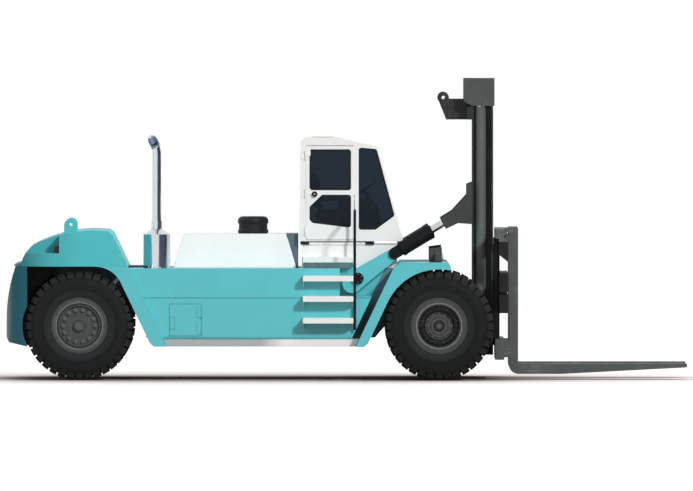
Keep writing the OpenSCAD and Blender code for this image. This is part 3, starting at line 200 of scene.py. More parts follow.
def sprayed_enamel(name, colour, dust, roughness=0.34, coat=0.25, dust_top=1.3, dust_most=0.16,
                   rear_shade_from=None):
    """Enamel sprayed on steel plate: an even colour under a soft gloss, faint orange peel, dust low down.

    rear_shade_from is the place in X behind which the colour greys towards the dust colour, as painted
    shade.
    """
    material, tree, shader, coords = start_material(name)
    mottle_mm, peel_mm, speck_mm = 420, 22, 9
    mottle = add(tree, "ShaderNodeTexNoise", {"Vector": coords, "Scale": 1000 / mottle_mm,
                                              "Detail": 4.0}).outputs[0]
    tone = add(tree, "ShaderNodeMix", {0: mottle, 6: shade(colour, 0.93), 7: shade(colour, 1.05)},
               data_type="RGBA").outputs[2]
    place = add(tree, "ShaderNodeSeparateXYZ", {0: coords}).outputs
    low = add(tree, "ShaderNodeMapRange", {"Value": place["Z"], "From Min": 0.35, "From Max": dust_top,
                                           "To Min": dust_most, "To Max": 0.02}).outputs[0]
    speck = add(tree, "ShaderNodeTexNoise", {"Vector": coords, "Scale": 1000 / speck_mm, "Detail": 6.0,
                                             "Roughness": 0.7}).outputs[0]
    film = add(tree, "ShaderNodeMath", {0: low, 1: speck}, operation="MULTIPLY").outputs[0]
    # Painted shade: behind a place in X the colour greys towards the dust colour
    if rear_shade_from is not None:
        rear_shade_end = rear_shade_from + 0.35
        tail = add(tree, "ShaderNodeMapRange", {"Value": place["X"], "From Min": rear_shade_from,
                                                "From Max": rear_shade_end, "To Min": 0.68,
                                                "To Max": 0.0}).outputs[0]
        film = add(tree, "ShaderNodeMath", {0: film, 1: tail}, operation="ADD").outputs[0]
    dusty = add(tree, "ShaderNodeMix", {0: film, 6: tone, 7: dust}, data_type="RGBA").outputs[2]
    # Real orange peel is about 3 mm across; it is drawn coarser so that it shows.
    peel = add(tree, "ShaderNodeTexNoise", {"Vector": coords, "Scale": 1000 / peel_mm,
                                            "Detail": 1.0}).outputs[0]
    bump = add(tree, "ShaderNodeBump", {"Strength": 0.12, "Distance": 0.6 * MM, "Height": peel}).outputs[0]
    gloss = add(tree, "ShaderNodeMapRange", {"Value": film, "From Min": 0.0, "From Max": 0.2,
                                             "To Min": roughness, "To Max": roughness + 0.3}).outputs[0]
    finish_shader(tree, shader, {"Base Color": dusty, "Roughness": gloss, "Normal": bump},
                  {"Coat Weight": coat, "Coat Roughness": 0.12})
    return material


def painted_casting(name, colour, dust, fade=0.0, arch_shade=None):
    """Enamel over sand-cast iron: a faintly pitted, rolling skin.

    fade is how far the colour deepens towards the tail, as painted shade where the casting rounds away from
    the light.
    arch_shade is where the wheel arches, painted black as shade, begin in X and how far out they reach in
    Y.
    """
    material, tree, shader, coords = start_material(name)
    mottle_mm, skin_mm, pit_mm = 520, 60, 14
    mottle = add(tree, "ShaderNodeTexNoise", {"Vector": coords, "Scale": 1000 / mottle_mm,
                                              "Detail": 4.0}).outputs[0]
    tone = add(tree, "ShaderNodeMix", {0: mottle, 6: shade(colour, 0.90), 7: shade(colour, 1.05)},
               data_type="RGBA").outputs[2]
    place = add(tree, "ShaderNodeSeparateXYZ", {0: coords}).outputs
    low = add(tree, "ShaderNodeMapRange", {"Value": place["Z"], "From Min": 0.4, "From Max": 1.5,
                                           "To Min": 0.06, "To Max": 0.01}).outputs[0]
    film = add(tree, "ShaderNodeMath", {0: low, 1: mottle}, operation="MULTIPLY").outputs[0]
    dusty = add(tree, "ShaderNodeMix", {0: film, 6: tone, 7: dust}, data_type="RGBA").outputs[2]
    # Painted shade: the colour deepens towards the tail, where the casting's corners round away from the
    # light
    tail_x = corners_of("counterweight")[0].x
    tail = add(tree, "ShaderNodeMapRange", {"Value": place["X"], "From Min": tail_x + 0.1,
                                            "From Max": tail_x + 1.12, "To Min": fade,
                                            "To Max": 0.0}).outputs[0]
    shaded_tone = add(tree, "ShaderNodeMix", {0: tail, 6: dusty, 7: shade(colour, 0.45)},
               data_type="RGBA").outputs[2]
    # Painted shade: the casting is painted black inside the wheel arches
    if arch_shade is not None:
        arch_x, arch_y = arch_shade
        inset = add(tree, "ShaderNodeMath", {0: place["Y"]}, operation="ABSOLUTE").outputs[0]
        inner = add(tree, "ShaderNodeMath", {0: inset, 1: arch_y}, operation="LESS_THAN").outputs[0]
        ahead = add(tree, "ShaderNodeMath", {0: place["X"], 1: arch_x}, operation="GREATER_THAN").outputs[0]
        under = add(tree, "ShaderNodeMath", {0: inner, 1: ahead}, operation="MULTIPLY").outputs[0]
        shaded_tone = add(tree, "ShaderNodeMix", {0: under, 6: shaded_tone, 7: srgb("#08090a")},
                   data_type="RGBA").outputs[2]
    skin = add(tree, "ShaderNodeTexNoise", {"Vector": coords, "Scale": 1000 / skin_mm,
                                            "Detail": 3.0}).outputs[0]
    pits = add(tree, "ShaderNodeTexVoronoi", {"Vector": coords, "Scale": 1000 / pit_mm}).outputs["Distance"]
    relief = add(tree, "ShaderNodeMath", {0: pits, 1: 0.25, 2: skin}, operation="MULTIPLY_ADD").outputs[0]
    bump = add(tree, "ShaderNodeBump", {"Strength": 0.18, "Distance": 1.5 * MM,
                                        "Height": relief}).outputs[0]
    gloss = add(tree, "ShaderNodeMapRange", {"Value": mottle, "To Min": 0.32, "To Max": 0.48}).outputs[0]
    finish_shader(tree, shader, {"Base Color": shaded_tone, "Roughness": gloss, "Normal": bump},
                  {"Specular IOR Level": 0.16})
    return material


def satin_steel_paint(name, colour, streak_axis, wear, sheen=0.28, planks=None):
    """Satin paint on rolled sections, rubbed along the way things slide over it.

    planks is what is painted near black, partly the planks' own dark finish and partly painted shade
    between the carriage's parts: where it begins in X, its middle height and half its height.
    """
    material, tree, shader, coords = start_material(name)
    streak_mm, blotch_mm, grit_mm = 16, 300, 6
    stretch = [1.0, 1.0, 1.0]
    stretch[streak_axis] = 0.03
    along = add(tree, "ShaderNodeMapping", {"Vector": coords, "Scale": stretch}).outputs[0]
    streak = add(tree, "ShaderNodeTexNoise", {"Vector": along, "Scale": 1000 / streak_mm,
                                              "Detail": 3.0}).outputs[0]
    blotch = add(tree, "ShaderNodeTexNoise", {"Vector": coords, "Scale": 1000 / blotch_mm,
                                              "Detail": 5.0}).outputs[0]
    rubbed = add(tree, "ShaderNodeMath", {0: streak, 1: blotch}, operation="MULTIPLY").outputs[0]
    bare = add(tree, "ShaderNodeMapRange", {"Value": rubbed, "From Min": 0.30, "From Max": 0.46,
                                            "To Min": 0.0, "To Max": wear}).outputs[0]
    tone = add(tree, "ShaderNodeMix", {0: blotch, 6: shade(colour, 0.80), 7: shade(colour, 1.18)},
               data_type="RGBA").outputs[2]
    worn = add(tree, "ShaderNodeMix", {0: bare, 6: tone, 7: srgb("#8b8d8c")}, data_type="RGBA").outputs[2]
    # Painted shade: near black over the planks and the gusset above them, where shade falls between the
    # carriage's parts
    if planks is not None:
        from_x, mid_z, half_z = planks
        place = add(tree, "ShaderNodeSeparateXYZ", {0: coords}).outputs
        ahead = add(tree, "ShaderNodeMath", {0: place["X"], 1: from_x}, operation="GREATER_THAN").outputs[0]
        level = add(tree, "ShaderNodeMath", {0: place["Z"], 1: mid_z, 2: half_z},
                    operation="COMPARE").outputs[0]
        inside = add(tree, "ShaderNodeMath", {0: ahead, 1: level}, operation="MULTIPLY").outputs[0]
        worn = add(tree, "ShaderNodeMix", {0: inside, 6: worn, 7: shade(colour, 0.05)},
                   data_type="RGBA").outputs[2]
    grit = add(tree, "ShaderNodeTexNoise", {"Vector": coords, "Scale": 1000 / grit_mm,
                                            "Detail": 2.0}).outputs[0]
    bump = add(tree, "ShaderNodeBump", {"Strength": 0.10, "Distance": 0.4 * MM, "Height": grit}).outputs[0]
    gloss = add(tree, "ShaderNodeMapRange", {"Value": streak, "To Min": 0.36, "To Max": 0.58}).outputs[0]
    finish_shader(tree, shader, {"Base Color": worn, "Roughness": gloss, "Normal": bump, "Metallic": bare},
                  {"Specular IOR Level": sheen})
    return material


# Reach of the painted shade round the exhaust's mouth
MOUTH_SHADE_R = 0.10
# Lugs round a tyre
LUGS = 36
# Colours of the wheels from their axles outwards, by share of the radius. On the rims the bright bands are
# painted highlights on the rings' edges, and the dark bands in the grooves and dish are partly grime,
# partly painted shade
TYRE_BANDS = ((0.0, "#212425"), (0.56, "#25282a"), (0.655, "#1e2122"), (0.668, "#0e1010"),
              (0.70, "#141617"), (0.85, "#181a1a"), (1.0, "#1b1d1e"))
DRIVE_RIM_PAINT_AND_LIGHT = ((0.0, "#646766"), (0.10, "#3a3d3c"), (0.125, "#101112"), (0.20, "#101112"),
                   (0.243, "#6b6e6d"), (0.262, "#3c3f3e"), (0.36, "#3c3f3e"), (0.376, "#6f7271"),
                   (0.395, "#393c3b"), (0.47, "#393c3b"), (0.495, "#6b6e6d"), (0.515, "#141616"),
                   (0.745, "#121414"), (0.77, "#505352"), (0.80, "#868988"), (0.825, "#474a49"),
                   (1.0, "#3c3f3e"))
STEER_RIM_PAINT_AND_LIGHT = ((0.0, "#565a5a"), (0.165, "#4d5151"), (0.185, "#0f1011"), (0.215, "#4a4e4e"),
                   (0.73, "#454949"), (0.745, "#0b0c0d"), (0.795, "#0b0c0d"), (0.81, "#7d8181"),
                   (0.84, "#565a5a"), (0.93, "#414545"), (1.0, "#353838"))


def from_axle(tree, coords, centre):
    """A place on a wheel's face, measured from its axle, and its distance from there."""
    spot = add(tree, "ShaderNodeMapping", {"Vector": coords, "Location": (-centre.x, 0.0, -centre.z),
                                           "Scale": (1.0, 0.0, 1.0)}).outputs[0]
    return spot, add(tree, "ShaderNodeVectorMath", {0: spot}, operation="LENGTH").outputs["Value"]


def tyre_rubber(name, dust, centre, tyre_r):
    """Moulded tyre rubber: matt black-grey, fine rings on the sidewall, lug grooves on the shoulders in
    bump and painted shade, and a dusty tread.
    """
    material, tree, shader, coords = start_material(name)
    ring_mm, grain_mm, scuff_mm = 26, 5, 90
    # Radii where the sidewall's rings fade out, where the grooves begin and where the tread does
    ring_r, ring_end_r = tyre_r * 0.62, tyre_r * 0.68
    groove_r, groove_full_r, tread_r = tyre_r * 0.865, tyre_r * 0.885, tyre_r * 0.85
    spot, radius = from_axle(tree, coords, centre)
    rings_per_m = 2 * math.pi * 1000 / ring_mm
    turn = add(tree, "ShaderNodeMath", {0: radius, 1: rings_per_m}, operation="MULTIPLY").outputs[0]
    wave = add(tree, "ShaderNodeMath", {0: turn}, operation="SINE").outputs[0]
    wall = add(tree, "ShaderNodeMapRange", {"Value": radius, "From Min": ring_r, "From Max": ring_end_r,
                                            "To Min": 1.0, "To Max": 0.0}).outputs[0]
    rings = add(tree, "ShaderNodeMath", {0: wave, 1: wall}, operation="MULTIPLY").outputs[0]
    grain = add(tree, "ShaderNodeTexNoise", {"Vector": coords, "Scale": 1000 / grain_mm,
                                             "Detail": 3.0}).outputs[0]
    around = add(tree, "ShaderNodeSeparateXYZ", {0: spot}).outputs
    # Painted shade: the lug grooves on the shoulders are darkened nearly black
    angle = add(tree, "ShaderNodeMath", {0: around["Z"], 1: around["X"]}, operation="ARCTAN2").outputs[0]
    lug_turn = add(tree, "ShaderNodeMath", {0: angle, 1: float(LUGS)}, operation="MULTIPLY").outputs[0]
    lug_wave = add(tree, "ShaderNodeMath", {0: lug_turn}, operation="COSINE").outputs[0]
    cut = add(tree, "ShaderNodeMapRange", {"Value": lug_wave, "From Min": -0.86, "From Max": -0.62,
                                           "To Min": 1.0, "To Max": 0.0}).outputs[0]
    shoulder = add(tree, "ShaderNodeMapRange", {"Value": radius, "From Min": groove_r,
                                                "From Max": groove_full_r}).outputs[0]
    groove = add(tree, "ShaderNodeMath", {0: cut, 1: shoulder}, operation="MULTIPLY").outputs[0]
    lugged = add(tree, "ShaderNodeMath", {0: rings, 1: groove}, operation="SUBTRACT").outputs[0]
    relief = add(tree, "ShaderNodeMath", {0: grain, 1: 0.6, 2: lugged}, operation="MULTIPLY_ADD").outputs[0]
    bump = add(tree, "ShaderNodeBump", {"Strength": 0.35, "Distance": 1.2 * MM,
                                        "Height": relief}).outputs[0]
    scuff = add(tree, "ShaderNodeTexNoise", {"Vector": coords, "Scale": 1000 / scuff_mm, "Detail": 6.0,
                                             "Roughness": 0.65}).outputs[0]
    tread = add(tree, "ShaderNodeMapRange", {"Value": radius, "From Min": tread_r, "From Max": tyre_r,
                                             "To Min": 0.01, "To Max": 0.10}).outputs[0]
    film = add(tree, "ShaderNodeMath", {0: tread, 1: scuff}, operation="MULTIPLY").outputs[0]
    share = add(tree, "ShaderNodeMath", {0: radius, 1: tyre_r}, operation="DIVIDE").outputs[0]
    band = add(tree, "ShaderNodeValToRGB", {"Fac": share}, stops=TYRE_BANDS).outputs[0]
    dusty = add(tree, "ShaderNodeMix", {0: film, 6: band, 7: dust}, data_type="RGBA").outputs[2]
    groove_shade = add(tree, "ShaderNodeMix", {0: groove, 6: dusty, 7: srgb("#050606")},
                   data_type="RGBA").outputs[2]
    gloss = add(tree, "ShaderNodeMapRange", {"Value": scuff, "To Min": 0.52, "To Max": 0.76}).outputs[0]
    finish_shader(tree, shader, {"Base Color": groove_shade, "Roughness": gloss, "Normal": bump},
                  {"Specular IOR Level": 0.14})
    return material


def rim_enamel(name, bands, centre, bead_r):
    """Satin enamel on a steel rim: painted highlights on the rings' edges, grooves and dish dark partly
    with grime and partly as painted shade.
    """
    material, tree, shader, coords = start_material(name)
    blotch_mm, grit_mm = 70, 5
    _, radius = from_axle(tree, coords, centre)
    share = add(tree, "ShaderNodeMath", {0: radius, 1: bead_r}, operation="DIVIDE").outputs[0]
    tone = add(tree, "ShaderNodeValToRGB", {"Fac": share}, stops=bands).outputs[0]
    blotch = add(tree, "ShaderNodeTexNoise", {"Vector": coords, "Scale": 1000 / blotch_mm,
                                              "Detail": 6.0}).outputs[0]
    grime = add(tree, "ShaderNodeMapRange", {"Value": blotch, "From Min": 0.4, "From Max": 0.75,
                                             "To Min": 0.0, "To Max": 0.35}).outputs[0]
    worn = add(tree, "ShaderNodeMix", {0: grime, 6: tone, 7: srgb("#1c1c1b")}, data_type="RGBA").outputs[2]
    grit = add(tree, "ShaderNodeTexNoise", {"Vector": coords, "Scale": 1000 / grit_mm,
                                            "Detail": 2.0}).outputs[0]
    bump = add(tree, "ShaderNodeBump", {"Strength": 0.1, "Distance": 0.4 * MM, "Height": grit}).outputs[0]
    gloss = add(tree, "ShaderNodeMapRange", {"Value": blotch, "To Min": 0.30, "To Max": 0.52}).outputs[0]
    finish_shader(tree, shader, {"Base Color": worn, "Roughness": gloss, "Normal": bump},
                  {"Specular IOR Level": 0.3})
    return material


def bright_metal(name, colour, line_axis, line_mm, rough, mouth_shade_at=None):
    """Turned or polished metal: mirror-like, with fine lines round the turned axis and a slate-blue, duller
    patch at a mouth as painted shade of its bore.
    """
    material, tree, shader, coords = start_material(name)
    haze_mm = 500 / 3
    stretch = [0.05, 0.05, 0.05]
    stretch[line_axis] = 1.0
    across = add(tree, "ShaderNodeMapping", {"Vector": coords, "Scale": stretch}).outputs[0]
    lines = add(tree, "ShaderNodeTexNoise", {"Vector": across, "Scale": 1000 / line_mm,
                                             "Detail": 4.0}).outputs[0]
    haze = add(tree, "ShaderNodeTexNoise", {"Vector": coords, "Scale": 1000 / haze_mm,
                                            "Detail": 3.0}).outputs[0]
    tone = add(tree, "ShaderNodeMix", {0: haze, 6: shade(colour, 0.86), 7: colour},
               data_type="RGBA").outputs[2]
    bump = add(tree, "ShaderNodeBump", {"Strength": 0.06, "Distance": 0.3 * MM, "Height": lines}).outputs[0]
    gloss = add(tree, "ShaderNodeMapRange", {"Value": lines, "To Min": rough * 0.7,
                                             "To Max": rough * 1.5}).outputs[0]
    # Painted shade: round the mouth the metal turns slate-blue and duller, standing in for the shade in the
    # bore
    if mouth_shade_at is not None:
        away = add(tree, "ShaderNodeVectorMath", {0: coords, 1: mouth_shade_at},
                   operation="DISTANCE").outputs["Value"]
        mouth_shade_end = MOUTH_SHADE_R * 1.25
        mouth_shade = add(tree, "ShaderNodeMapRange", {"Value": away, "From Min": MOUTH_SHADE_R, "From Max": mouth_shade_end,
                                                "To Min": 1.0, "To Max": 0.0}).outputs[0]
        tone = add(tree, "ShaderNodeMix", {0: mouth_shade, 6: tone, 7: srgb("#8795a8")},
                   data_type="RGBA").outputs[2]
        dull = add(tree, "ShaderNodeMath", {0: mouth_shade, 1: 0.6}, operation="MULTIPLY").outputs[0]
        gloss = add(tree, "ShaderNodeMath", {0: gloss, 1: dull}, operation="ADD").outputs[0]
    finish_shader(tree, shader, {"Base Color": tone, "Roughness": gloss, "Normal": bump}, {"Metallic": 1.0})
    return material


def moulded_plastic(name, colour, grain_mm, roughness):
    """Moulded plastic or vinyl: matt, with the leather-like grain of its mould."""
    material, tree, shader, coords = start_material(name)
    cloud_mm = 500 / 7
    cells = add(tree, "ShaderNodeTexVoronoi", {"Vector": coords, "Scale": 1000 / grain_mm},
                feature="DISTANCE_TO_EDGE").outputs["Distance"]
    cloud = add(tree, "ShaderNodeTexNoise", {"Vector": coords, "Scale": 1000 / cloud_mm,
                                             "Detail": 4.0}).outputs[0]
    tone = add(tree, "ShaderNodeMix", {0: cloud, 6: shade(colour, 0.8), 7: shade(colour, 1.2)},
               data_type="RGBA").outputs[2]
    bump = add(tree, "ShaderNodeBump", {"Strength": 0.3, "Distance": 0.5 * MM, "Height": cells}).outputs[0]
    gloss = add(tree, "ShaderNodeMapRange", {"Value": cloud, "To Min": roughness - 0.08,
                                             "To Max": roughness + 0.1}).outputs[0]
    finish_shader(tree, shader, {"Base Color": tone, "Roughness": gloss, "Normal": bump},
                  {"Specular IOR Level": 0.25})
    return material


def tinted_glass(name, colour, film, gleam=(1.0, 1.0, 1.0, 1.0)):
    """Toughened tinted glass: dark and clear, its gleam faintly coloured, veiled by dust in places."""
    material, tree, shader, coords = start_material(name)
    veil_mm = 160
    veil = add(tree, "ShaderNodeTexNoise", {"Vector": coords, "Scale": 1000 / veil_mm,
                                            "Detail": 5.0}).outputs[0]
    gloss = add(tree, "ShaderNodeMapRange", {"Value": veil, "From Min": 0.45, "From Max": 0.8,
                                             "To Min": 0.02, "To Max": film}).outputs[0]
    finish_shader(tree, shader, {"Roughness": gloss},
                  {"Base Color": colour, "Transmission Weight": 0.92, "IOR": 1.27, "Specular Tint": gleam})
    return material


def make_materials(colours):
    """All finishes by name."""
    drive_mid, steer_mid = middle_of("drive_rims_right"), middle_of("steer_rim_right")
    tyre_r = size_of("drive_tyres_right").z / 2
    bead_r = size_of("drive_rims_right").z / 2
    body, cab, mast, dust = colours.body, colours.cab, colours.mast, colours.dust
    ballast_low, ballast_high = corners_of("counterweight")
    carriage_x = corners_of("carriage")[1].x
    pipe_mid, pipe_top = middle_of("exhaust_stack"), corners_of("exhaust_stack")[1].z
    mouth = (pipe_mid.x - 0.06, pipe_mid.y - 0.02, pipe_top - 0.10)
    # Reach of the near-black patch on the carriage, over the planks and gusset, partly painted shade
    patch_depth, patch_mid_z, patch_half_h = 0.16, 1.516, 0.534
    return {
        "teal_enamel": sprayed_enamel("Teal enamel on plate", body, dust),
        # The cap's colour deepens towards the tail as painted shade
        "teal_casting": painted_casting("Teal enamel on cast iron", body, dust, fade=0.9),
        # Darker paint on the lower casting, partly painted shade; inside its wheel arches it is painted
        # black as shade
        "ballast_casting": painted_casting("Grey-teal enamel on cast iron", colours.ballast, dust,
                                           arch_shade=(ballast_low.x + 0.30, ballast_high.y - 0.03)),
        "white_enamel": sprayed_enamel("White enamel on plate", cab, dust, dust_top=2.2, dust_most=0.08),
        # The sills grey towards the rear as painted shade, in the blue-grey given as their dust colour
        "sill_enamel": sprayed_enamel("White enamel on sills", cab, srgb("#7f908f"), dust_top=2.2,
                                      dust_most=0.04, rear_shade_from=middle_of("sills").x),
        "mast_paint": satin_steel_paint("Satin grey on rolled steel", mast, 2, 0.35),
        "head_paint": satin_steel_paint("Satin grey on inner mast", shade(mast, 3.8), 2, 0.35),
        "cylinder_paint": satin_steel_paint("Satin grey on lift cylinders", shade(mast, 6.0), 2, 0.2),
        "fork_steel": satin_steel_paint("Worn paint on forged steel", shade(mast, 4.6), 0, 0.6),
        # The carriage's grey is lighter than the mast's partly as painted light on its shaded uprights
        "carriage_paint": satin_steel_paint("Satin grey on the carriage", shade(mast, 4.6), 2, 0.3,
                                            planks=(carriage_x - patch_depth, patch_mid_z, patch_half_h)),
        "bracket_paint": satin_steel_paint("Satin grey on the brackets", shade(mast, 2.2), 2, 0.2),
        "chassis_paint": satin_steel_paint("Satin black chassis paint", colours.underframe, 0, 0.04,
                                           sheen=0.1),
        # Painted light: the rails' slate is lightened 1.7 times so that the deep gap by the front mudguard
        # shows as a lit slate strip
        "rail_paint": sprayed_enamel("Slate enamel on frame rails", shade(colours.bulkhead, 1.7), dust,
                                     roughness=0.5, coat=0.0),
        # Dark slate behind the hood: painted shade of the recess between hood and cab
        "slate_paint": sprayed_enamel("Slate enamel on plate", colours.bulkhead, dust, roughness=0.5,
                                      coat=0.0),
        "drive_rubber": tyre_rubber("Moulded rubber, drive tyres", dust, drive_mid, tyre_r),
        "steer_rubber": tyre_rubber("Moulded rubber, steer tyres", dust, steer_mid, tyre_r),
        "drive_rim": rim_enamel("Satin enamel, drive rims", DRIVE_RIM_PAINT_AND_LIGHT, drive_mid, bead_r),
        "steer_rim": rim_enamel("Satin enamel, steer rims", STEER_RIM_PAINT_AND_LIGHT, steer_mid, bead_r),
        "stainless": bright_metal("Stainless steel, polished", srgb("#dcdfe4"), 2, 8, 0.11, mouth_shade_at=mouth),
        "hard_chrome": bright_metal("Hard chrome, ground", srgb("#d3d6da"), 2, 5, 0.14),
        "zinc_nut": bright_metal("Dulled zinc on nuts", srgb("#5d6162"), 1, 6, 0.45),
        "chain_steel": bright_metal("Oiled chain steel", srgb("#4f5254"), 1, 6, 0.34),
        "black_plastic": moulded_plastic("Moulded black plastic", srgb("#171a1e"), 7, 0.5),
        "seat_vinyl": moulded_plastic("Grained vinyl", srgb("#23262a"), 6, 0.55),
        "seal_rubber": moulded_plastic("Extruded seal rubber", srgb("#191b1c"), 9, 0.6),
        "tinted_glass": tinted_glass("Tinted toughened glass", colours.tint, 0.14, gleam=srgb("#c6dcf4")),
        "clear_lens": tinted_glass("Clear lamp glass", srgb("#e8eef0"), 0.10),
        "red_lens": tinted_glass("Red lamp acrylic", srgb("#b3161b"), 0.16),
    }


# Frame nodes by finish
FINISH_OF = {
    "teal_enamel": ["rear_mudguards", "front_mudguards", "side_box_right", "side_box_left", "tilt_anchors",
                    "hatch_right"],
    "teal_casting": ["counterweight_cap"],
    "ballast_casting": ["counterweight"],
    "white_enamel": ["engine_hood", "cab_shell", "cab_pedestal", "door_right", "door_left", "steps"],
    "sill_enamel": ["sills"],
    "mast_paint": ["outer_mast", "mast_crossbeams"],
    "bracket_paint": ["tilt_brackets", "lamps"],
    "carriage_paint": ["carriage"],
    "head_paint": ["inner_mast"],
    "cylinder_paint": ["lift_barrels"],
    "fork_steel": ["fork_right", "fork_left"],
    "rail_paint": ["chassis_frame"],
    "chassis_paint": ["drive_axle", "steer_axle", "knuckle_right", "knuckle_left",
                      "handrails", "tilt_barrel_right", "tilt_barrel_left", "engine_block"],
    "slate_paint": ["hood_bulkhead"],
    "drive_rubber": ["drive_tyres_right", "drive_tyres_left"],
    "steer_rubber": ["steer_tyre_right", "steer_tyre_left"],
    "drive_rim": ["drive_rims_right", "drive_rims_left"],
    "steer_rim": ["steer_rim_right", "steer_rim_left"],
    "stainless": ["exhaust_stack"],
    "hard_chrome": ["tilt_rod_right", "tilt_rod_left", "lift_rods"],
    "chain_steel": ["lift_chains"],
    "black_plastic": ["air_precleaner", "steering_console"],
    "seat_vinyl": ["operator_seat"],
    "seal_rubber": ["cab_mounts"],
    "tinted_glass": ["cab_glass", "door_glass_right", "door_glass_left"],
}
# Nodes whose plate edges are eased; round and lugged ones keep their own edges
EASED = ["rear_mudguards", "front_mudguards", "side_box_right", "side_box_left", "hatch_right",
         "counterweight", "counterweight_cap", "engine_hood", "cab_shell", "cab_pedestal", "door_right",
         "door_left", "sills", "steps", "outer_mast", "mast_crossbeams", "tilt_brackets", "inner_mast",
         "carriage", "lamps", "fork_right", "fork_left", "tilt_anchors", "hood_bulkhead", "air_precleaner"]


def corners_of(node):
    """Lowest and highest corner of a frame node."""
    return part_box(node)


def middle_of(node):
    """Middle of a frame node's box."""
    low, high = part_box(node)
    return (low + high) / 2


def size_of(node):
    """Size of a frame node's box."""
    low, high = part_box(node)
    return high - low


def finish(key):
    """A finish that the paint operator has made."""
    return bpy.data.materials[bpy.context.scene["truck_finishes"][key]]


# Meshes


def keep_piece(name, mesh, material, body):
    """A finished mesh as a piece that rides on a body."""
    piece = bpy.data.objects.new(name, mesh)
    bpy.context.collection.objects.link(piece)
    if material is not None:
        mesh.materials.clear()
        mesh.materials.append(material)
    if body is not None:
        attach(piece, body)
    return piece


def mesh_of(bm, name, smooth_angle=35):
    """A mesh from edited geometry, smooth apart from its sharp edges."""
    bmesh.ops.recalc_face_normals(bm, faces=bm.faces)
    for face in bm.faces:
        face.smooth = True
    for edge in bm.edges:
        edge.smooth = edge.calc_face_angle(math.pi) < math.radians(smooth_angle)
    mesh = bpy.data.meshes.new(name)
    bm.to_mesh(mesh)
    bm.free()
    return mesh


def keep_shape(name, bm, key, body):
    """Edited geometry as a piece with a finish, on a body."""
    return keep_piece(name, mesh_of(bm, name), finish(key), body)


def block(bm, size, middle):
    """Add a box to edited geometry."""
    corners = bmesh.ops.create_cube(bm, size=1.0)["verts"]
    bmesh.ops.scale(bm, vec=size, verts=corners)
    bmesh.ops.translate(bm, vec=middle, verts=corners)


def lathe(bm, profile, place, steps=40):
    """Turn a profile of [radius, height] points about local Z and put it at a place."""
    rings = []
    for radius, height in profile:
        if radius < 1e-6:
            rings.append([bm.verts.new(place @ Vector((0, 0, height)))])
            continue
        angles = (2 * math.pi * i / steps for i in range(steps))
        rings.append([bm.verts.new(place @ Vector((radius * math.cos(a), radius * math.sin(a), height)))
                      for a in angles])
    for low, high in zip(rings, rings[1:]):
        for i in range(steps):
            j = (i + 1) % steps
            quad = [low[i % len(low)], low[j % len(low)], high[j % len(high)], high[i % len(high)]]
            corners = list(dict.fromkeys(quad))
            if len(corners) > 2:
                bm.faces.new(corners)


def facing(spot, direction):
    """Where local Z points along a direction."""
    return Matrix.Translation(spot) @ Vector(direction).to_track_quat("Z", "Y").to_matrix().to_4x4()


def point_mesh(name, spots):
    """Bare points with the direction that each faces, for the instance trees."""
    mesh = bpy.data.meshes.new(name)
    mesh.from_pydata([spot for spot, _ in spots], [], [])
    direction = mesh.attributes.new("facing", "FLOAT_VECTOR", "POINT")
    for entry, (_, towards) in zip(direction.data, spots):
        entry.vector = towards
    return mesh


def new_tree(name, sockets):
    """An empty geometry tree with named inputs and their defaults, and the outputs that give them."""
    tree = bpy.data.node_groups.new(name, "GeometryNodeTree")
    tree.interface.new_socket("Geometry", in_out="INPUT", socket_type="NodeSocketGeometry")
    for label, kind, value in sockets:
        socket = tree.interface.new_socket(label, in_out="INPUT", socket_type="NodeSocket" + kind)
        if value is not None:
            socket.default_value = value
    tree.interface.new_socket("Geometry", in_out="OUTPUT", socket_type="NodeSocketGeometry")
    return tree, add(tree, "NodeGroupInput").outputs


def end_tree(tree, geometry, material):
    """Make a tree's instances real, give them their finish and send them out."""
    real = add(tree, "GeometryNodeRealizeInstances", {"Geometry": geometry}).outputs[0]
    painted = add(tree, "GeometryNodeSetMaterial", {"Geometry": real, "Material": material}).outputs[0]
    add(tree, "NodeGroupOutput", {"Geometry": painted})
    return tree


def grow(name, mesh, tree, values, body):
    """Run a tree on a mesh and keep the result as a plain piece."""
    source = bpy.data.objects.new(name, mesh)
    bpy.context.collection.objects.link(source)
    modifier = source.modifiers.new(tree.name, "NODES")
    modifier.node_group = tree
    for item in tree.interface.items_tree:
        if item.item_type == "SOCKET" and item.in_out == "INPUT" and item.name in values:
            modifier[item.identifier] = values[item.name]
    depsgraph = bpy.context.evaluated_depsgraph_get()
    grown = bpy.data.meshes.new_from_object(source.evaluated_get(depsgraph), depsgraph=depsgraph)
    source.modifiers.remove(modifier)
    bpy.data.objects.remove(source)
    return keep_piece(name, grown, None, body)


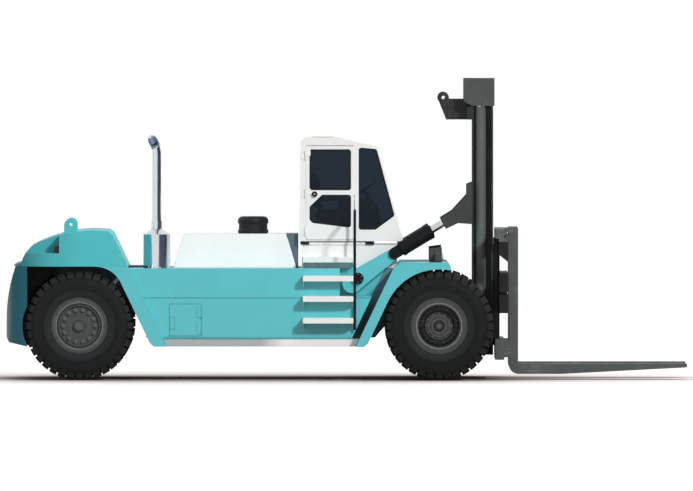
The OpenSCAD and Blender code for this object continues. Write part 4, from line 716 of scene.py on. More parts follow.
def hex_nut_tree():
    """A hexagon with a washer under it and a stud through it, on every point."""
    tree, given = new_tree("Hex nuts", [("Across Flats", "Float", 0.05), ("Height", "Float", 0.03),
                                        ("Washer", "Float", 0.04), ("Stud", "Float", 0.012),
                                        ("Material", "Material", None)])
    corner_r = add(tree, "ShaderNodeMath", {0: given["Across Flats"], 1: math.sqrt(3)},
                   operation="DIVIDE").outputs[0]
    washer_t = add(tree, "ShaderNodeMath", {0: given["Height"], 1: 0.2}, operation="MULTIPLY").outputs[0]
    stud_h = add(tree, "ShaderNodeMath", {0: given["Height"], 1: 1.4}, operation="MULTIPLY").outputs[0]
    parts = []
    for corners, radius, depth in ((6, corner_r, given["Height"]), (20, given["Washer"], washer_t),
                                   (12, given["Stud"], stud_h)):
        solid = add(tree, "GeometryNodeMeshCylinder", {"Vertices": corners, "Radius": radius,
                                                       "Depth": depth})
        lift = add(tree, "ShaderNodeMath", {0: depth, 1: 0.5}, operation="MULTIPLY").outputs[0]
        rise = add(tree, "ShaderNodeCombineXYZ", {"Z": lift}).outputs[0]
        parts.append(add(tree, "GeometryNodeTransform", {"Geometry": solid.outputs["Mesh"],
                                                         "Translation": rise}))
    nut = add(tree, "GeometryNodeJoinGeometry")
    for part in parts:
        tree.links.new(part.outputs[0], nut.inputs[0])
    towards = add(tree, "GeometryNodeInputNamedAttribute", {"Name": "facing"},
                  data_type="FLOAT_VECTOR").outputs[0]
    turn = add(tree, "FunctionNodeAlignRotationToVector", {"Vector": towards}, axis="Z").outputs[0]
    points = add(tree, "GeometryNodeMeshToPoints", {"Mesh": given["Geometry"]}).outputs[0]
    placed = add(tree, "GeometryNodeInstanceOnPoints",
                 {"Points": points, "Instance": nut.outputs[0], "Rotation": turn}).outputs[0]
    return end_tree(tree, placed, given["Material"])


def leaf_chain_tree():
    """Leaf chain along a line: plates in two alternating rows, with a pin at every joint."""
    tree, given = new_tree("Leaf chain", [("Pitch", "Float", 0.05), ("Plate Height", "Float", 0.034),
                                          ("Width", "Float", 0.056), ("Plates", "Int", 5),
                                          ("Pin", "Float", 0.009), ("Material", "Material", None)])
    path = add(tree, "GeometryNodeMeshToCurve", {"Mesh": given["Geometry"]}).outputs[0]
    links = add(tree, "GeometryNodeResampleCurve", {"Curve": path, "Length": given["Pitch"]},
                mode="LENGTH").outputs[0]
    tangent = add(tree, "GeometryNodeInputTangent").outputs[0]
    turn = add(tree, "FunctionNodeAlignRotationToVector", {"Vector": tangent}, axis="Z",
               pivot_axis="Y").outputs[0]
    gaps = add(tree, "ShaderNodeMath", {0: given["Plates"], 1: 2.0}, operation="MULTIPLY").outputs[0]
    plate_t = add(tree, "ShaderNodeMath", {0: given["Width"], 1: gaps}, operation="DIVIDE").outputs[0]
    half_h = add(tree, "ShaderNodeMath", {0: given["Plate Height"], 1: 0.5},
                 operation="MULTIPLY").outputs[0]
    half_p = add(tree, "ShaderNodeMath", {0: given["Pitch"], 1: 0.5}, operation="MULTIPLY").outputs[0]
    waist_h = add(tree, "ShaderNodeMath", {0: given["Plate Height"], 1: 0.72},
                  operation="MULTIPLY").outputs[0]
    waist_size = add(tree, "ShaderNodeCombineXYZ", {"X": waist_h, "Y": plate_t,
                                                    "Z": given["Pitch"]}).outputs[0]
    waist = add(tree, "GeometryNodeMeshCube", {"Size": waist_size}).outputs["Mesh"]
    plate = add(tree, "GeometryNodeJoinGeometry")
    tree.links.new(waist, plate.inputs[0])
    eye = add(tree, "GeometryNodeMeshCylinder", {"Vertices": 14, "Radius": half_h,
                                                 "Depth": plate_t}).outputs["Mesh"]
    for sign in (-1.0, 1.0):
        along = add(tree, "ShaderNodeMath", {0: half_p, 1: sign}, operation="MULTIPLY").outputs[0]
        shift = add(tree, "ShaderNodeCombineXYZ", {"Z": along}).outputs[0]
        placed = add(tree, "GeometryNodeTransform", {"Geometry": eye, "Translation": shift,
                                                     "Rotation": (math.pi / 2, 0, 0)}).outputs[0]
        tree.links.new(placed, plate.inputs[0])
    pin = add(tree, "GeometryNodeMeshCylinder", {"Vertices": 10, "Radius": given["Pin"],
                                                 "Depth": given["Width"]}).outputs["Mesh"]
    pin_shift = add(tree, "ShaderNodeCombineXYZ", {"Z": half_p}).outputs[0]
    pin = add(tree, "GeometryNodeTransform", {"Geometry": pin, "Translation": pin_shift,
                                              "Rotation": (math.pi / 2, 0, 0)}).outputs[0]
    spacing = add(tree, "ShaderNodeMath", {0: plate_t, 1: 2.0}, operation="MULTIPLY").outputs[0]
    step = add(tree, "ShaderNodeCombineXYZ", {"Y": spacing}).outputs[0]
    index = add(tree, "GeometryNodeInputIndex").outputs[0]
    odd = add(tree, "ShaderNodeMath", {0: index, 1: 2.0}, operation="MODULO").outputs[0]
    even = add(tree, "ShaderNodeMath", {0: 1.0, 1: odd}, operation="SUBTRACT").outputs[0]
    both = add(tree, "GeometryNodeJoinGeometry")
    half_w = add(tree, "ShaderNodeMath", {0: given["Width"], 1: -0.5}, operation="MULTIPLY").outputs[0]
    for chosen, first in ((even, 0.5), (odd, 1.5)):
        begin = add(tree, "ShaderNodeMath", {0: plate_t, 1: first, 2: half_w},
                    operation="MULTIPLY_ADD").outputs[0]
        origin = add(tree, "ShaderNodeCombineXYZ", {"Y": begin}).outputs[0]
        count = add(tree, "ShaderNodeMath", {0: given["Plates"], 1: first - 0.5},
                    operation="SUBTRACT").outputs[0]
        row = add(tree, "GeometryNodeMeshLine", {"Count": count, "Start Location": origin,
                                                 "Offset": step}).outputs[0]
        stack = add(tree, "GeometryNodeInstanceOnPoints", {"Points": row,
                                                           "Instance": plate.outputs[0]}).outputs[0]
        link = add(tree, "GeometryNodeJoinGeometry", {0: stack})
        tree.links.new(pin, link.inputs[0])
        laid = add(tree, "GeometryNodeInstanceOnPoints", {"Points": links, "Instance": link.outputs[0],
                                                          "Selection": chosen, "Rotation": turn}).outputs[0]
        tree.links.new(laid, both.inputs[0])
    return end_tree(tree, both.outputs[0], given["Material"])


def stud_tree():
    """A low pressed dome on every point."""
    tree, given = new_tree("Tread studs", [("Radius", "Float", 0.011), ("Height", "Float", 0.005),
                                           ("Material", "Material", None)])
    crown_r = add(tree, "ShaderNodeMath", {0: given["Radius"], 1: 0.55}, operation="MULTIPLY").outputs[0]
    dome = add(tree, "GeometryNodeMeshCone", {"Vertices": 12, "Radius Top": crown_r,
                                              "Radius Bottom": given["Radius"],
                                              "Depth": given["Height"]}).outputs["Mesh"]
    points = add(tree, "GeometryNodeMeshToPoints", {"Mesh": given["Geometry"]}).outputs[0]
    placed = add(tree, "GeometryNodeInstanceOnPoints", {"Points": points, "Instance": dome}).outputs[0]
    return end_tree(tree, placed, given["Material"])


def smooth_tree():
    """Smooth shading on curved faces, with edges kept sharp past an angle."""
    tree, given = new_tree("Smooth faces", [("Angle", "Float", math.radians(33))])
    angle = add(tree, "GeometryNodeInputMeshEdgeAngle").outputs[0]
    soft = add(tree, "ShaderNodeMath", {0: angle, 1: given["Angle"]}, operation="LESS_THAN").outputs[0]
    faces = add(tree, "GeometryNodeSetShadeSmooth", {"Geometry": given["Geometry"], "Shade Smooth": True},
                domain="FACE").outputs[0]
    edges = add(tree, "GeometryNodeSetShadeSmooth", {"Geometry": faces, "Shade Smooth": soft},
                domain="EDGE").outputs[0]
    add(tree, "NodeGroupOutput", {"Geometry": edges})
    return tree


# Rays in the studio


def curtain(tree, towards):
    """1 for mirrored rays that head for a dark curtain ahead of the truck's right side, else 0."""
    middle, edge, full = (0.87, -0.5, 0), 0.70, 0.78
    flat = add(tree, "ShaderNodeVectorMath", {0: towards, 1: (1, 1, 0)}, operation="MULTIPLY").outputs[0]
    heading = add(tree, "ShaderNodeVectorMath", {0: flat}, operation="NORMALIZE").outputs[0]
    share = add(tree, "ShaderNodeVectorMath", {0: heading, 1: middle},
                operation="DOT_PRODUCT").outputs["Value"]
    hung = add(tree, "ShaderNodeMapRange", {"Value": share, "From Min": edge, "From Max": full}).outputs[0]
    mirrored = add(tree, "ShaderNodeLightPath").outputs["Is Glossy Ray"]
    return add(tree, "ShaderNodeMath", {0: hung, 1: mirrored}, operation="MULTIPLY").outputs[0]


def white_rays(tree):
    """1 for rays from the eye, in reflections and through glass, else 0."""
    path = add(tree, "ShaderNodeLightPath").outputs
    seen = add(tree, "ShaderNodeMath", {0: path["Is Camera Ray"], 1: path["Is Glossy Ray"]},
               operation="MAXIMUM").outputs[0]
    return add(tree, "ShaderNodeMath", {0: seen, 1: path["Is Transmission Ray"]},
               operation="MAXIMUM").outputs[0]


# Operators


class TRUCK_OT_paint(bpy.types.Operator):
    """Give every frame node its finish, eased plate edges and smooth curves"""

    bl_idname = "truck.paint"
    bl_label = "Paint the frame"

    def execute(self, context):
        finishes = make_materials(context.scene.truck_colours)
        context.scene["truck_finishes"] = {key: material.name for key, material in finishes.items()}
        smooth = smooth_tree()
        for key, names in FINISH_OF.items():
            for name in names:
                node = frame["nodes"][name]
                node.data.materials.clear()
                node.data.materials.append(finishes[key])
                weld = node.modifiers.new("Weld", "WELD")
                weld.merge_threshold = 0.01 * MM
                if name in EASED:
                    flat = node.modifiers.new("Flat faces", "DECIMATE")
                    flat.decimate_type = "DISSOLVE"
                    flat.angle_limit = math.radians(0.5)
                    ease = node.modifiers.new("Eased edges", "BEVEL")
                    ease.width = context.scene.truck_sizes.edge
                    ease.segments = 2
                    ease.limit_method = "ANGLE"
                    ease.angle_limit = math.radians(35)
                node.modifiers.new("Smooth faces", "NODES").node_group = smooth
                even = node.modifiers.new("Even shading", "WEIGHTED_NORMAL")
                even.keep_sharp = True
        return {"FINISHED"}


class TRUCK_OT_wheel_nuts(bpy.types.Operator):
    """Put hexagon nuts on the studs of every wheel and small ones round the drive hubs"""

    bl_idname = "truck.wheel_nuts"
    bl_label = "Fit the wheel nuts"

    def execute(self, context):
        nut = context.scene.truck_sizes.wheel_nut
        tree = hex_nut_tree()
        # Rings of nuts: rim, wheel, depth of the seat behind the rim, radius, count, share of a nut's size
        rings = (("drive_rims", "drive_wheel", 0.423, 0.248, 24, 1.0),
                 ("drive_rims", "drive_wheel", 0.163, 0.185, 12, 0.5),
                 ("steer_rim", "steer_wheel", 0.042, 0.238, 14, 1.0))
        for side_name, side in SIDES:
            for number, (node, body, depth, radius, count, share) in enumerate(rings):
                low, high = corners_of(f"{node}_{side_name}")
                mid = (low + high) / 2
                seat_y = side * (max(abs(low.y), abs(high.y)) - depth)
                spots = []
                for i in range(count):
                    angle = 2 * math.pi * i / count
                    x, z = mid.x + radius * math.cos(angle), mid.z + radius * math.sin(angle)
                    spots.append(((x, seat_y, z), (0, side, 0)))
                flats = nut * share
                values = {"Across Flats": flats, "Height": flats * 0.55, "Washer": flats * 0.68,
                          "Stud": flats * 0.3, "Material": finish("zinc_nut")}
                grow(f"{body}_nuts_{side_name}_{number}", point_mesh("nut points", spots), tree, values,
                     f"{body}_{side_name}")
        return {"FINISHED"}


class TRUCK_OT_plate_bolts(bpy.types.Operator):
    """Put bolts on the carriage planks and the tilt anchors' bosses, with turned caps on the pins' ends"""

    bl_idname = "truck.plate_bolts"
    bl_label = "Fit the plate bolts"

    def execute(self, context):
        bolt = context.scene.truck_sizes.plate_bolt
        tree = hex_nut_tree()
        values = {"Across Flats": bolt, "Height": bolt * 0.17, "Washer": bolt * 0.7, "Stud": bolt * 0.2,
                  "Material": finish("zinc_nut")}
        carriage_high = corners_of("carriage")[1]
        plank_inset, column_gap, rows_z = 0.14, 0.16, (1.06, 1.20, 1.37, 1.515)
        spots = []
        for side in (RIGHT, LEFT):
            for z in rows_z:
                for inset in (plank_inset, plank_inset + column_gap):
                    spots.append(((carriage_high.x, side * (carriage_high.y - inset), z), (1, 0, 0)))
        grow("carriage_bolts", point_mesh("bolt points", spots), tree, values, "carriage")

        # Caps on the anchors' bosses and on the pins in the barrels' eyes: [radius, height over the face]
        boss_x, boss_z, boss_r, circle_r, circle_h = 0.1655, 1.502, 0.086, 0.062, 0.006
        boss_cap = [(0, 0.016), (0.026, 0.016), (0.030, 0.010), (0.046, 0.010), (0.050, 0.006),
                    (0.074, 0.006), (boss_r, 0.004), (boss_r, -0.012), (0, -0.012)]
        half_eye = 0.075
        pin_cap = [(0, 0.012), (0.014, 0.012), (0.018, 0.009), (0.040, 0.009), (0.046, 0.004),
                   (0.046, 0.001), (0.030, 0.001), (0.030, -0.010), (0, -0.010)]
        pins = {joint["name"]: joint["pos_m"] for joint in frame["joints"] if "pos_m" in joint}
        spots, caps = [], bmesh.new()
        for side_name, side in SIDES:
            face_y = side * corners_of("tilt_anchors")[1].y
            lathe(caps, boss_cap, facing((boss_x, face_y, boss_z), (0, side, 0)))
            pin_x, pin_y, pin_z = pins[f"tilt_barrel_{side_name}"]
            for end in (-1, 1):
                lathe(caps, pin_cap, facing((pin_x, pin_y + end * half_eye, pin_z), (0, end, 0)))
            for i in range(6):
                angle = math.radians(60 * i + 30)
                x, z = boss_x + circle_r * math.cos(angle), boss_z + circle_r * math.sin(angle)
                spots.append(((x, face_y + side * circle_h, z), (0, side, 0)))
        small = dict(values, **{"Across Flats": bolt * 0.5, "Height": bolt * 0.3, "Washer": bolt * 0.36})
        grow("anchor_bolts", point_mesh("bolt points", spots), tree, small, "chassis")
        keep_shape("anchor_caps", caps, "chassis_paint", "chassis")
        return {"FINISHED"}


class TRUCK_OT_lift_chains(bpy.types.Operator):
    """Lay leaf chain over the sheaves, from the carriage up and down to the outer mast"""

    bl_idname = "truck.lift_chains"
    bl_label = "Lay the lift chains"

    def execute(self, context):
        sizes = context.scene.truck_sizes
        low, high = corners_of("lift_chains")
        chain_h, chain_w, wrap_steps = 0.034, 0.056, 16
        front_x, rear_x = high.x - chain_h / 2, low.x + chain_h / 2
        wrap_x, wrap_r = (front_x + rear_x) / 2, (front_x - rear_x) / 2
        top_z = high.z - wrap_r - chain_h / 2
        foot_z, anchor_z = low.z, 2.70
        chain_y = high.y - chain_w / 2
        tree = leaf_chain_tree()
        values = {"Pitch": sizes.chain_pitch, "Plate Height": chain_h, "Width": chain_w,
                  "Plates": sizes.chain_plates, "Pin": chain_h * 0.24, "Material": finish("chain_steel")}
        for side_name, side in SIDES:
            y = side * chain_y
            turns = [math.pi * i / wrap_steps for i in range(wrap_steps + 1)]
            wrap = [(wrap_x + wrap_r * math.cos(turn), y, top_z + wrap_r * math.sin(turn))
                    for turn in turns]
            runs = {"front": [(front_x, y, foot_z), (front_x, y, top_z)], "wrap": wrap,
                    "rear": [(rear_x, y, anchor_z), (rear_x, y, top_z)]}
            ends = {"front": ("inner_mast", "carriage", (front_x, y, top_z), (front_x, y, foot_z)),
                    "rear": ("inner_mast", "outer_mast", (rear_x, y, top_z), (rear_x, y, anchor_z))}
            for run, path in runs.items():
                mesh = bpy.data.meshes.new("chain path")
                mesh.from_pydata(path, [(i, i + 1) for i in range(len(path) - 1)], [])
                body = None if run in ends else "inner_mast"
                chain = grow(f"lift_chain_{side_name}_{run}", mesh, tree, values, body)
                if run in ends:
                    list(ends[run])
                    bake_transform(chain)
                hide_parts("lift_chains")
        return {"FINISHED"}


class TRUCK_OT_window_seals(bpy.types.Operator):
    """Run a rubber seal round every pane of the cab and the doors"""

    bl_idname = "truck.window_seals"
    bl_label = "Fit the window seals"

    def execute(self, context):
        seal_w = context.scene.truck_sizes.seal_w
        cab_mid = middle_of("cab_shell")
        # Profile of the seal: reach over the glass and height over its face, as shares of its width
        profile = ((0.0, 0.0), (0.0, 0.8), (0.35, 0.9), (0.8, 0.7), (1.0, 0.1), (1.0, 0.0))
        carried = {"cab_glass": "chassis", "door_glass_right": "door_right", "door_glass_left": "door_left"}
        for node, body in carried.items():
            bm = bmesh.new()
            for outline, outward in self.panes(node, cab_mid):
                self.sweep(bm, outline, outward, [(u * seal_w, v * seal_w) for u, v in profile])
            keep_shape(f"{node}_seals", bm, "seal_rubber", body)
        return {"FINISHED"}

    @staticmethod
    def panes(node, cab_mid):
        """The outer face's outline of each pane of a node, with the direction that it faces."""
        bm = bmesh.new()
        bm.from_mesh(frame["nodes"][node].data)
        bmesh.ops.remove_doubles(bm, verts=bm.verts, dist=0.05 * MM)
        waiting = set(bm.verts)
        while waiting:
            island, front = set(), [waiting.pop()]
            while front:
                vert = front.pop()
                island.add(vert)
                near = {edge.other_vert(vert) for edge in vert.link_edges} & waiting
                waiting -= near
                front.extend(near)
            faces = {face for vert in island for face in vert.link_faces}
            outward = max(faces, key=lambda face: face.calc_area()).normal.copy()
            points = [vert.co.copy() for vert in island]
            if outward.dot(sum(points, Vector()) / len(points) - cab_mid) < 0:
                outward.negate()
            level = max(outward.dot(point) for point in points)
            across = outward.orthogonal().normalized()
            along = outward.cross(across)
            flat = [(across.dot(point), along.dot(point)) for point in points]
            ring = [flat[i] for i in convex_hull_2d(flat)]
            yield [across * u + along * v + outward * level for u, v in ring], outward
        bm.free()

    @staticmethod
    def sweep(bm, outline, outward, profile):
        """Carry the profile round a closed outline, mitred at its corners."""
        count = len(outline)
        rings = []
        for i, corner in enumerate(outline):
            before = (corner - outline[i - 1]).normalized()
            after = (outline[(i + 1) % count] - corner).normalized()
            inward_a, inward_b = outward.cross(before), outward.cross(after)
            mitre = inward_a + inward_b
            mitre = mitre / max(0.2, mitre.dot(inward_a))
            rings.append([bm.verts.new(corner + mitre * u + outward * v) for u, v in profile])
        for i in range(count):
            for k in range(len(profile)):
                m = (k + 1) % len(profile)
                bm.faces.new((rings[i - 1][k], rings[i][k], rings[i][m], rings[i - 1][m]))


class TRUCK_OT_door_locks(bpy.types.Operator):
    """Put a black lock with a bright button on the boss of each door"""

    bl_idname = "truck.door_locks"
    bl_label = "Fit the door locks"

    def execute(self, context):
        behind_edge, over_sill = 0.585, 0.676
        # Profiles as [radius, height over the door's face]
        ring_profile = [(0.014, -0.004), (0.014, 0.009), (0.020, 0.012), (0.034, 0.011), (0.043, 0.004),
                        (0.043, -0.013)]
        button_profile = [(0.0, 0.007), (0.010, 0.007), (0.0138, 0.003), (0.0138, -0.004)]
        for side_name, side in SIDES:
            body = f"door_{side_name}"
            low, high = corners_of(body)
            face_y = side * max(abs(low.y), abs(high.y))
            place = facing((high.x - behind_edge, face_y, low.z + over_sill), (0, side, 0))
            ring, button = bmesh.new(), bmesh.new()
            lathe(ring, ring_profile, place)
            lathe(button, button_profile, place)
            keep_shape(f"{body}_lock", ring, "black_plastic", body)
            keep_shape(f"{body}_button", button, "hard_chrome", body)
        return {"FINISHED"}


class TRUCK_OT_lamp_lenses(bpy.types.Operator):
    """Put headlamps on the front mudguards and red tail lenses on the counterweight's shelves"""

    bl_idname = "truck.lamp_lenses"
    bl_label = "Fit the lamps"

    def execute(self, context):
        low, high = corners_of("lamps")
        lamp_r, lamp_z, lamp_y, half_gap = 0.056, 1.819, 1.50, 0.042
        lens_size, lens_edge, lens_lift = (0.016, 0.210, 0.085), 0.006, 0.006
        shelf_y, lens_mid_z = 1.285, 1.9375
        # Profiles as [share of the lamp's radius, height over the bracket's face]
        rim_profile = ((0.6, -0.01), (0.72, -0.01), (0.74, 0.018), (0.66, 0.022), (0.60, 0.012))
        lens_profile = ((0.66, 0.004), (0.63, 0.016), (0.4, 0.021), (0, 0.023))
        rims, lenses, reds = bmesh.new(), bmesh.new(), bmesh.new()
        for side in (RIGHT, LEFT):
            for offset in (-half_gap, half_gap):
                place = facing((high.x, side * (lamp_y + offset), lamp_z), (1, 0, 0))
                for bm, profile in ((rims, rim_profile), (lenses, lens_profile)):
                    lathe(bm, [(lamp_r * share, height) for share, height in profile], place)
            block(reds, lens_size, (low.x - lens_lift, side * shelf_y, lens_mid_z))
        bmesh.ops.bevel(reds, geom=reds.edges[:], offset=lens_edge, segments=3, affect="EDGES")
        keep_shape("headlamp_rims", rims, "hard_chrome", "chassis")
        keep_shape("headlamp_lenses", lenses, "clear_lens", "chassis")
        keep_shape("tail_lenses", reds, "red_lens", "chassis")
        return {"FINISHED"}


class TRUCK_OT_tread_studs(bpy.types.Operator):
    """Press rows of studs into the treads of the steps"""

    bl_idname = "truck.tread_studs"
    bl_label = "Stud the treads"

    def execute(self, context):
        gap = context.scene.truck_sizes.stud_gap
        low, high = corners_of("steps")
        deck = corners_of("side_box_left")[1]
        pedestal_y, margin = 0.618, 0.04
        # Treads: height over the deck, inner edge, outer edge
        treads = ((0.163, pedestal_y, pedestal_y + 0.29), (-0.107, deck.y, deck.y + 0.22),
                  (-0.409, deck.y, deck.y + 0.25), (-0.730, deck.y, deck.y + 0.28))
        spots = []
        for side in (RIGHT, LEFT):
            for rise, inner, outer in treads:
                columns = int((high.x - low.x - 2 * margin) / gap)
                rows = int((outer - inner - 2 * margin) / gap)
                for i in range(columns + 1):
                    for j in range(rows + 1):
                        x, y = low.x + margin + i * gap, side * (inner + margin + j * gap)
                        spots.append(((x, y, deck.z + rise), (0, 0, 1)))
        values = {"Radius": gap * 0.26, "Height": gap * 0.1, "Material": finish("white_enamel")}
        grow("tread_studs", point_mesh("stud points", spots), stud_tree(), values, "chassis")
        return {"FINISHED"}


class TRUCK_OT_seat(bpy.types.Operator):
    """Upholster the driver's seat: swollen cushion and back on a ribbed suspension box, with armrests"""

    bl_idname = "truck.seat"
    bl_label = "Upholster the seat"

    def execute(self, context):
        low = corners_of("operator_seat")[0]
        swell = context.scene.truck_sizes.pad_swell
        mid_x, base_z = low.x + 0.31, low.z
        # Pads: side outline from the seat's middle and foot, half width
        pads = {"seat_cushion": ([(-0.25, 0.262), (0.27, 0.262), (0.27, 0.40), (-0.25, 0.40)], 0.26),
                "seat_back": ([(-0.25, 0.402), (-0.11, 0.402), (-0.20, 1.0), (-0.31, 1.0)], 0.25)}
        for name, (outline, half_w) in pads.items():
            bm = self.pad_form(outline, half_w, mid_x, base_z, swell)
            pad = keep_piece(name, mesh_of(bm, name, 180), finish("seat_vinyl"), None)
            self.inflate(context, pad, swell)
            soft = pad.modifiers.new("Soft", "SUBSURF")
            soft.levels = soft.render_levels = 1
            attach(pad, "chassis")
            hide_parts("operator_seat")
        box, arms = bmesh.new(), bmesh.new()
        ribs, box_h, half_x, half_y, waist = 7, 0.26, 0.18, 0.20, 0.93
        rings = []
        for i in range(2 * ribs + 1):
            reach = 1.0 if i % 2 else waist
            z = base_z + box_h * i / (2 * ribs)
            rings.append([box.verts.new((mid_x + sx * half_x * reach, sy * half_y * reach, z))
                          for sx, sy in ((-1, -1), (1, -1), (1, 1), (-1, 1))])
        for lower, upper in zip(rings, rings[1:]):
            for k in range(4):
                box.faces.new((lower[k], lower[(k + 1) % 4], upper[(k + 1) % 4], upper[k]))
        box.faces.new(rings[0])
        box.faces.new(rings[-1])
        keep_shape("seat_box", box, "black_plastic", "chassis")
        # Armrest and its post: middle from the seat's middle and foot, size
        rests = ((0.06, 0.305, 0.57, (0.36, 0.07, 0.06)), (-0.14, 0.275, 0.50, (0.06, 0.05, 0.20)))
        rest_edge = 0.018
        for side in (RIGHT, LEFT):
            for x, y, z, size in rests:
                block(arms, size, (mid_x + x, side * y, base_z + z))
        bmesh.ops.bevel(arms, geom=arms.edges[:], offset=rest_edge, segments=3, affect="EDGES")
        keep_shape("seat_arms", arms, "seat_vinyl", "chassis")
        return {"FINISHED"}

    @staticmethod
    def pad_form(outline, half_y, mid_x, base_z, swell):
        """A closed pad, a little smaller than its space so that it can swell."""
        slack, edge = swell * 0.6, 0.03
        bm = bmesh.new()
        middle = sum((Vector(point) for point in outline), Vector((0, 0))) / len(outline)
        rims = []
        for y in (slack - half_y, half_y - slack):
            rim = []
            for point in outline:
                inset = middle - Vector(point)
                spot = Vector(point) + inset.normalized() * slack
                rim.append(bm.verts.new((mid_x + spot.x, y, base_z + spot.y)))
            rims.append(rim)
        for k in range(len(outline)):
            m = (k + 1) % len(outline)
            bm.faces.new((rims[0][k], rims[0][m], rims[1][m], rims[1][k]))
        bm.faces.new(rims[0])
        bm.faces.new(rims[1])
        bmesh.ops.recalc_face_normals(bm, faces=bm.faces)
        bmesh.ops.bevel(bm, geom=bm.edges[:], offset=edge, segments=4, affect="EDGES")
        return bm

    @staticmethod
    def inflate(context, pad, swell):
        """Swell a pad with cloth under pressure, no further than the cap, and keep the result."""
        voxel, pressure, last_frame = 12 * MM, 4.0, 20
        remesh = pad.modifiers.new("Even faces", "REMESH")
        remesh.mode = "VOXEL"
        remesh.voxel_size = voxel
        depsgraph = context.evaluated_depsgraph_get()
        even = bpy.data.meshes.new_from_object(pad.evaluated_get(depsgraph), depsgraph=depsgraph)
        pad.modifiers.clear()
        pad.data = even
        rest = [vert.co.copy() for vert in even.vertices]
        cloth = pad.modifiers.new("Stuffing", "CLOTH")
        cloth.settings.use_pressure = True
        cloth.settings.uniform_pressure_force = pressure
        cloth.settings.effector_weights.gravity = 0
        for number in range(1, last_frame + 1):
            context.scene.frame_set(number)
        depsgraph = context.evaluated_depsgraph_get()
        swollen = bpy.data.meshes.new_from_object(pad.evaluated_get(depsgraph), depsgraph=depsgraph)
        pad.modifiers.clear()
        pad.data = swollen
        for vert, start in zip(swollen.vertices, rest):
            move = vert.co - start
            if move.length > swell:
                vert.co = start + move.normalized() * swell
        for face in swollen.polygons:
            face.use_smooth = True
        context.scene.frame_set(1)


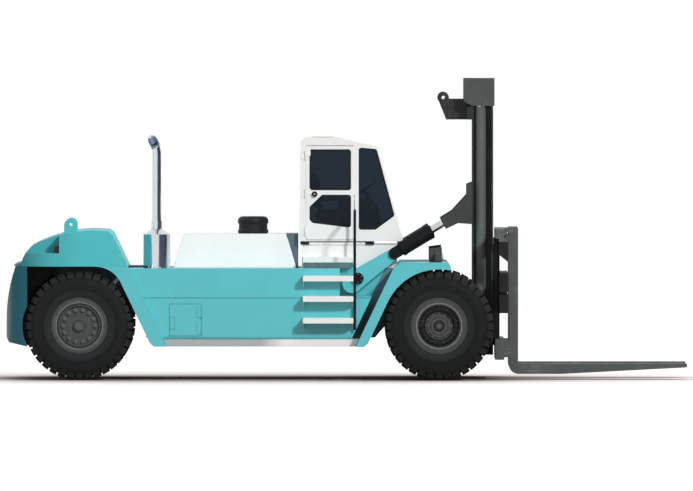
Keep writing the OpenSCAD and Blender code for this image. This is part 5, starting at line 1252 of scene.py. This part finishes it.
class TRUCK_OT_stage(bpy.types.Operator):
    """Set the pale floor, the soft studio light and the camera at the side of the truck"""

    bl_idname = "truck.stage"
    bl_label = "Set the stage"

    def execute(self, context):
        scene, studio = context.scene, context.scene.truck_studio
        scene.view_settings.view_transform = "Standard"
        self.floor()
        self.sky(scene, studio.sky)
        towards_light, softness = Vector((0.43, -0.80, 0.47)), math.radians(6)
        key = bpy.data.lights.new("Key", "SUN")
        key.energy = studio.sun
        key.angle = softness
        lamp = bpy.data.objects.new("Key", key)
        lamp.rotation_euler = towards_light.to_track_quat("Z", "Y").to_euler()
        context.collection.objects.link(lamp)
        camera = bpy.data.cameras.new("Camera")
        camera.sensor_width = 36.0
        camera.lens = camera.sensor_width * studio.distance / (studio.image_w * studio.pixel)
        camera.clip_end = 4 * studio.distance
        eye = bpy.data.objects.new("Camera", camera)
        back = Vector((0, -math.cos(studio.elevation), math.sin(studio.elevation)))
        eye.location = Vector(studio.middle) + back * studio.distance
        eye.rotation_euler = (math.pi / 2 - studio.elevation, 0, 0)
        context.collection.objects.link(eye)
        scene.camera = eye
        return {"FINISHED"}

    @staticmethod
    def floor():
        """A wide pale floor that stays white to the eye and keeps the truck's shadow."""
        half, glow, shade_reach, shade_power = 60.0, 0.86, 4.4, 3.3
        cloud_mm = 10000 / 7
        bm = bmesh.new()
        bmesh.ops.create_grid(bm, x_segments=1, y_segments=1, size=half)
        mesh = bpy.data.meshes.new("studio_floor")
        bm.to_mesh(mesh)
        bm.free()
        material = bpy.data.materials.new("Matt studio floor")
        material.use_nodes = True
        tree = material.node_tree
        tree.nodes.clear()
        coords = add(tree, "ShaderNodeTexCoord").outputs["Object"]
        cloud = add(tree, "ShaderNodeTexNoise", {"Vector": coords, "Scale": 1000 / cloud_mm,
                                                 "Detail": 2.0}).outputs[0]
        tone = add(tree, "ShaderNodeMix", {0: cloud, 6: srgb("#988b86"), 7: srgb("#9c8f8a")},
                   data_type="RGBA").outputs[2]
        matt = add(tree, "ShaderNodeBsdfDiffuse", {"Color": tone}).outputs[0]
        open_sky = add(tree, "ShaderNodeAmbientOcclusion", {"Distance": shade_reach},
                       samples=16).outputs["AO"]
        depth = add(tree, "ShaderNodeMath", {0: open_sky, 1: shade_power}, operation="POWER").outputs[0]
        seen = add(tree, "ShaderNodeMath", {0: white_rays(tree), 1: depth}, operation="MULTIPLY").outputs[0]
        lit = add(tree, "ShaderNodeMapRange", {"Value": curtain(tree, coords), "To Min": glow,
                                               "To Max": 0.0}).outputs[0]
        strength = add(tree, "ShaderNodeMath", {0: seen, 1: lit}, operation="MULTIPLY").outputs[0]
        light = add(tree, "ShaderNodeEmission", {"Strength": strength}).outputs[0]
        both = add(tree, "ShaderNodeAddShader", {0: matt, 1: light}).outputs[0]
        add(tree, "ShaderNodeOutputMaterial", {"Surface": both})
        mesh.materials.append(material)
        floor = bpy.data.objects.new("studio_floor", mesh)
        bpy.context.collection.objects.link(floor)

    @staticmethod
    def sky(scene, strength):
        """White to the eye, in metal and through glass, with a curtain in metal; else a soft even light."""
        world = scene.world or bpy.data.worlds.new("Studio")
        scene.world = world
        world.use_nodes = True
        tree = world.node_tree
        tree.nodes.clear()
        level = add(tree, "ShaderNodeMapRange", {"Value": white_rays(tree), "To Min": strength,
                                                 "To Max": 1.0}).outputs[0]
        dark = curtain(tree, add(tree, "ShaderNodeTexCoord").outputs["Generated"])
        hue = add(tree, "ShaderNodeMix", {0: dark, 6: (1, 1, 1, 1), 7: srgb("#36445c")},
                  data_type="RGBA").outputs[2]
        room = add(tree, "ShaderNodeBackground", {"Color": hue, "Strength": level}).outputs[0]
        add(tree, "ShaderNodeOutputWorld", {"Surface": room})


class TRUCK_PT_panel(bpy.types.Panel):
    """The truck's settings and steps"""

    bl_idname = "TRUCK_PT_panel"
    bl_label = "Heavy forklift truck"
    bl_space_type = "VIEW_3D"
    bl_region_type = "UI"
    bl_category = "Forklift"

    def draw(self, context):
        for step in STEPS:
            self.layout.operator(step.bl_idname)
        for group in (context.scene.truck_colours, context.scene.truck_sizes, context.scene.truck_studio):
            for name in group.__annotations__:
                self.layout.prop(group, name)


STEPS = (TRUCK_OT_paint, TRUCK_OT_wheel_nuts, TRUCK_OT_plate_bolts, TRUCK_OT_lift_chains,
         TRUCK_OT_window_seals, TRUCK_OT_door_locks, TRUCK_OT_lamp_lenses, TRUCK_OT_tread_studs,
         TRUCK_OT_seat, TRUCK_OT_stage)
GROUPS = {"truck_colours": TruckColours, "truck_sizes": TruckSizes, "truck_studio": TruckStudio}


def register():
    for kind in (*GROUPS.values(), *STEPS, TRUCK_PT_panel):
        bpy.utils.register_class(kind)
    for name, group in GROUPS.items():
        setattr(bpy.types.Scene, name, bpy.props.PointerProperty(type=group))


def unregister():
    for name in GROUPS:
        delattr(bpy.types.Scene, name)
    for kind in reversed((*GROUPS.values(), *STEPS, TRUCK_PT_panel)):
        bpy.utils.unregister_class(kind)


def main():
    register()
    for step in STEPS:
        group, name = step.bl_idname.split(".")
        getattr(getattr(bpy.ops, group), name)()


if __name__ == "__main__":
    main()
